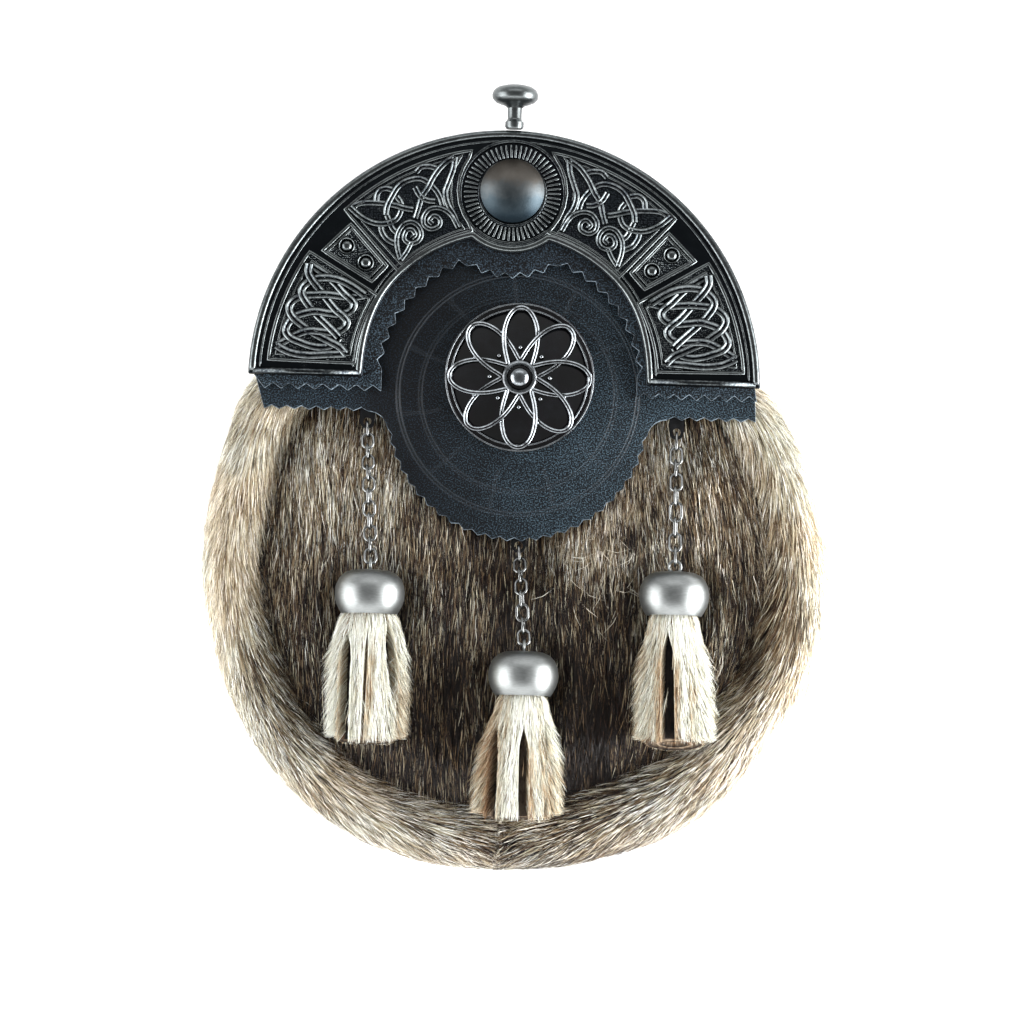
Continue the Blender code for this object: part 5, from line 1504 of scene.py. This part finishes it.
class SPORRAN_OT_badge(bpy.types.Operator):
    """Make the round badge: a ring, two crossed four-lobed bands and a boss over a glossy disc."""

    bl_idname = "sporran.badge"
    bl_label = "Badge"

    def execute(self, context):
        centre = (BADGE_U, BADGE_V)
        high, middle = BADGE_W + 0.0011, BADGE_W + 0.0008
        ring = marked(plate("ring", [arc(centre, r, 0, 357, 120) for r in (BADGE_R, BADGE_R - 0.0020)],
                            BADGE_W, 0.0010, 0.0003))
        edge = rim("edge", [(lifted(arc(centre, r, 0, 357, 120), high - 0.0001), True)
                            for r in (BADGE_R - 0.0003, BADGE_R - 0.0019)], 0.00032, high - 0.0001)
        t = np.linspace(0.0, 2 * math.pi, 240, endpoint=False) + 0.05
        loops = []
        for turned_by in (0.0, math.pi / 4):
            r = 0.0132 + 0.0079 * np.cos(4 * (t - turned_by))
            loops.append(np.stack((BADGE_U + r * np.cos(t), BADGE_V + r * np.sin(t)), 1))
        heights = woven_heights([np.vstack((p, p[:1])) for p in loops], 0.00035)
        runs = [(p, h[:-1], True, BADGE_BAND, 1.0) for p, h in zip(loops, heights)]
        bands = band_piece("bands", runs, middle + 0.0004)
        boss = spun("boss", BADGE_BOSS, 48)
        boss.data.transform(Matrix.Translation((*centre, middle)))
        marked(boss, middle + 0.0004, middle + 0.0011)
        bead = spun("bead", BEAD_PROFILE, 12)
        beads = []
        for k in range(16):
            place = around(centre, 0.0146 if k % 2 else 0.0090, 22.5 * k)
            beads.append(copied(bead, Matrix.Translation((*place, middle))))
            marked(beads[-1], middle + 0.0001, middle + 0.0006)
        bpy.data.objects.remove(bead)
        colour = context.scene.sporran_colours.silver
        silver = finish_of(cast_finish, "badge_silver", BADGE_HOLLOW, colour, 0.12)
        item = lay_in_front(joined("badge_ornament", [ring, edge, bands, boss, *beads]))
        finished(item, silver, "badge_metal", "badge")
        outline = arc(centre, DISC_R, 0, 356, 90)
        disc = lay_in_front(plate("badge_disc", [outline], FLAP_THICK + LEAF_GAP, DISC_THICK, 0.0002))
        finished(disc, finish_of(gloss_finish, "gloss_enamel"), "gloss_black", "badge_backing")
        return {"FINISHED"}


class SPORRAN_OT_chains(bpy.types.Operator):
    """Lay the chains: each link is a round wire with straight sides, set where its solid is."""

    bl_idname = "sporran.chains"
    bl_label = "Chains"

    def execute(self, context):
        steel = finish_of(satin_finish, "chain_steel", CHAIN_METAL, 0.17)
        for row in STRANDS:
            nodes = [f"link_{row.side}_{k:02d}" for k in range(1, row.links + 1)]
            ring = torus(24, (row.width - row.wire) / 2, row.wire / 2 * 1.12)
            links = [self.link(ring, row.width, node) for node in nodes]
            item = outward(joined(f"chain_{row.side}", links))
            bpy.data.objects.remove(ring)
            bpy.ops.object.shade_smooth()
            finished(item, steel, "chain_metal", *nodes)
        for side, _ in SIDES:
            node = f"strap_ring_{side}"
            item = wire_run(f"d_ring_{side}", [(self.d_line(*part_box(node)), True)], RING_WIRE, 3)
            finished(item, steel, "chain_metal", node)
        return {"FINISHED"}

    @staticmethod
    def link(ring, width, node):
        """A copy of the ring, drawn out to its solid's length and turned as its solid lies."""
        co = np.array([v.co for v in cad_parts[node].data.vertices])
        co = np.unique(np.round(co, 7), axis=0)
        centre = (co.max(0) + co.min(0)) / 2
        _, _, axes = np.linalg.svd(co - co.mean(0), full_matrices=False)
        length = np.ptp(((co - centre) @ axes.T)[:, 0])
        turn = Matrix((axes[1], axes[0], axes[2])).transposed()
        if turn.determinant() < 0:
            turn = turn @ Matrix.Diagonal((1, 1, -1))
        link = copied(ring)
        stretch = (length - width) / 2
        for vertex in link.data.vertices:
            vertex.co.y += stretch if vertex.co.y > 0 else -stretch
        link.data.transform(Matrix.Translation(Vector(centre)) @ turn.to_4x4())
        return link

    @staticmethod
    def d_line(low, high):
        """The middle of a D ring's wire: straight below, round above."""
        x, z, half = (low.x + high.x) / 2, (low.z + high.z) / 2, (high.x - low.x) / 2 - RING_WIRE
        y, reach = low.y + RING_WIRE, high.y - low.y - 2 * RING_WIRE
        line = [(x - half, y + RING_CORNER), (x - half + RING_CORNER, y), (x + half - RING_CORNER, y),
                (x + half, y + RING_CORNER)]
        line += [(x + half * math.cos(t), y + RING_STRAIGHT + (reach - RING_STRAIGHT) * math.sin(t))
                 for t in np.linspace(0.0, math.pi, 24)]
        return lifted(line, z)


class SPORRAN_OT_caps(bpy.types.Operator):
    """Spin a pewter cap with its eye, and set a copy over each tassel."""

    bl_idname = "sporran.caps"
    bl_label = "Tassel caps"

    def execute(self, context):
        colour = context.scene.sporran_colours.pewter
        pewter = finish_of(satin_finish, "cap_pewter", colour, 0.40, (1.0, 6.0, 1.0))
        half = CAP_HEIGHT / 2
        cap = spun("cap", head_and_foot(CAP_SIDE, half, CAP_LIP, -half), 64)
        eye = torus(28, EYE_R, EYE_WIRE)
        bpy.ops.object.shade_smooth()
        for row in STRANDS:
            across = math.pi / 2 if row.links % 2 else 0.0
            upright = (Matrix.Translation((0, 0, half + 0.00081)) @ Matrix.Rotation(across, 4, "Z")
                       @ Matrix.Rotation(math.pi / 2, 4, "Y"))
            item = joined(f"cap_{row.side}", [copied(cap), copied(eye, upright)])
            item.data.transform(Matrix.Translation((row.cap_u, row.cap_v, CAP_W)) @ UPRIGHT)
            finished(lay_in_front(item), pewter, "pewter", f"tassel_cap_{row.side}")
        for item in (cap, eye):
            bpy.data.objects.remove(item)
        return {"FINISHED"}


class SPORRAN_OT_tassels(bpy.types.Operator):
    """Hang the tassels: rolled leather strips and the cream hairs on them."""

    bl_idname = "sporran.tassels"
    bl_label = "Tassels"

    def execute(self, context):
        count = int(context.scene.sporran_sizes.tassel_hairs * (1.0))
        hair = finish_of(tassel_finish, "tassel_hair")
        strip = finish_of(strip_finish, "strip_leather")
        rng = np.random.default_rng(SEED + 1)
        for row, tassel in zip(STRANDS, TASSELS):
            item = lay_in_front(self.strips(row, tassel))
            finished(item, strip, "tassel_fur", f"tassel_{row.side}")
            tassel_hairs(row, tassel, count, rng, hair)
        return {"FINISHED"}

    def strips(self, row, tassel):
        """The leather under the hairs: round the tassel from cap to hem, sunk and dark in the slits."""
        turns = np.radians(np.arange(0.0, 360.0, 5.0))
        bm = bmesh.new()
        dark = bm.verts.layers.float.new("slit")
        rings = []
        for t in (-0.06, 0.0, *np.linspace(0.06, 0.985, 11)):
            open_ = np.full(len(turns), 0.7 if t > 0.9 else 0.0)
            for slit in tassel.slits + BACK_SLITS:
                away, _ = slit_away(slit, tassel, turns, t)
                inside = np.abs(away) * tassel_reach(tassel, t) < slit_half(slit, t) + 0.0004
                open_ = np.maximum(open_, inside * slit.dark)
            at = np.full(len(turns), max(t, 0.0))
            ring = tassel_surface(row, tassel, turns, at, -STRIP_BED - SLIT_DEEP * open_)
            ring[:, 1] -= tassel.length * min(t, 0.0)
            rings.append([bm.verts.new(p) for p in ring])
            for vert, share in zip(rings[-1], open_):
                vert[dark] = share
        for first, second in zip(rings, rings[1:]):
            walled(bm, first, second)
        self.closed_end(bm, rings[0], (0.5,), dark)
        self.closed_end(bm, rings[-1], (0.88, 0.84, 0.66, 0.62, 0.44, 0.40, 0.22), dark)
        return built(f"tassel_strips_{row.side}", bm)

    @staticmethod
    def closed_end(bm, ring, shares, dark):
        """Close an end with smaller rings; more than one step in and out like rolled leather."""
        centre = sum((v.co for v in ring), Vector()) / len(ring)
        previous = ring
        for number, share in enumerate(shares):
            step = Vector((0.0, 0.0012 if number % 4 in (1, 2) else 0.0, 0.0))
            inner = [bm.verts.new(centre.lerp(vertex.co, share) + step) for vertex in ring]
            for vert in inner:
                vert[dark] = 0.3 if number % 2 else 1.0
            walled(bm, previous, inner)
            previous = inner
        bm.faces.new(previous)


class SPORRAN_OT_stage(bpy.types.Operator):
    """Set the pale floor, the soft lights and the camera."""

    bl_idname = "sporran.stage"
    bl_label = "Stage"

    def execute(self, context):
        scene = context.scene
        bpy.ops.object.select_all(action="DESELECT")
        bpy.ops.mesh.primitive_plane_add(size=6.0, location=(0, 0, 0))
        floor = context.object
        floor.name = "floor"
        floor.data.materials.append(finish_of(floor_finish, "pale_floor"))
        for name, place, size, power in LIGHTS:
            data = bpy.data.lights.new(name, "AREA")
            data.shape, data.energy = "RECTANGLE", power
            data.size, data.size_y = size
            item = as_object(name, data)
            item.location = place
            item.rotation_euler = (-Vector(place)).to_track_quat("-Z", "Y").to_euler()
        world = scene.world = bpy.data.worlds.new("studio")
        world.use_nodes = True
        nodes, links = world.node_tree.nodes, world.node_tree.links
        where, split, height = (nodes.new(f"ShaderNode{kind}")
                                for kind in ("TexCoord", "SeparateXYZ", "MapRange"))
        height.inputs["To Min"].default_value = SKY_BELOW
        height.inputs["To Max"].default_value = SKY_ABOVE
        links.new(where.outputs["Generated"], split.inputs[0])
        links.new(split.outputs[2], height.inputs[0])
        links.new(height.outputs[0], nodes["Background"].inputs[1])
        nodes["Background"].inputs[0].default_value = (1.0, 1.0, 1.0, 1.0)
        data = bpy.data.cameras.new("camera")
        data.sensor_width, data.lens = SENSOR, SENSOR * CAMERA_FAR / PICTURE_WIDTH
        data.clip_start, data.clip_end = 0.05, 20.0
        scene.camera = as_object("camera", data)
        scene.camera.location = (CAMERA_X, CAMERA_Y, CAMERA_FAR + FOCUS_Z)
        scene.camera.rotation_euler = (0.0, 0.0, PHOTO_TURN)
        scene.view_settings.view_transform = "Standard"
        return {"FINISHED"}


class SPORRAN_PT_panel(bpy.types.Panel):
    """Lists the sizes, the colours and the pieces."""

    bl_idname = "SPORRAN_PT_panel"
    bl_label = "Sporran"
    bl_space_type = "VIEW_3D"
    bl_region_type = "UI"
    bl_category = "Sporran"

    def draw(self, context):
        for group in (context.scene.sporran_sizes, context.scene.sporran_colours):
            box = self.layout.box()
            for key in type(group).__annotations__:
                box.prop(group, key)
        for operator in PIECES:
            self.layout.operator(operator.bl_idname)


PIECES = (
    SPORRAN_OT_pouch, SPORRAN_OT_fur, SPORRAN_OT_leathers, SPORRAN_OT_cantle, SPORRAN_OT_dome,
    SPORRAN_OT_badge, SPORRAN_OT_chains, SPORRAN_OT_caps, SPORRAN_OT_tassels, SPORRAN_OT_stage,
)
CLASSES = (SporranSizes, SporranColours, *PIECES, SPORRAN_PT_panel)


def register():
    for item in CLASSES:
        bpy.utils.register_class(item)
    bpy.types.Scene.sporran_sizes = bpy.props.PointerProperty(type=SporranSizes)
    bpy.types.Scene.sporran_colours = bpy.props.PointerProperty(type=SporranColours)


def unregister():
    del bpy.types.Scene.sporran_colours
    del bpy.types.Scene.sporran_sizes
    for item in reversed(CLASSES):
        bpy.utils.unregister_class(item)


def main():
    register()
    for operator in PIECES:
        group, name = operator.bl_idname.split(".")
        getattr(getattr(bpy.ops, group), name)()


if __name__ == "__main__":
    main()
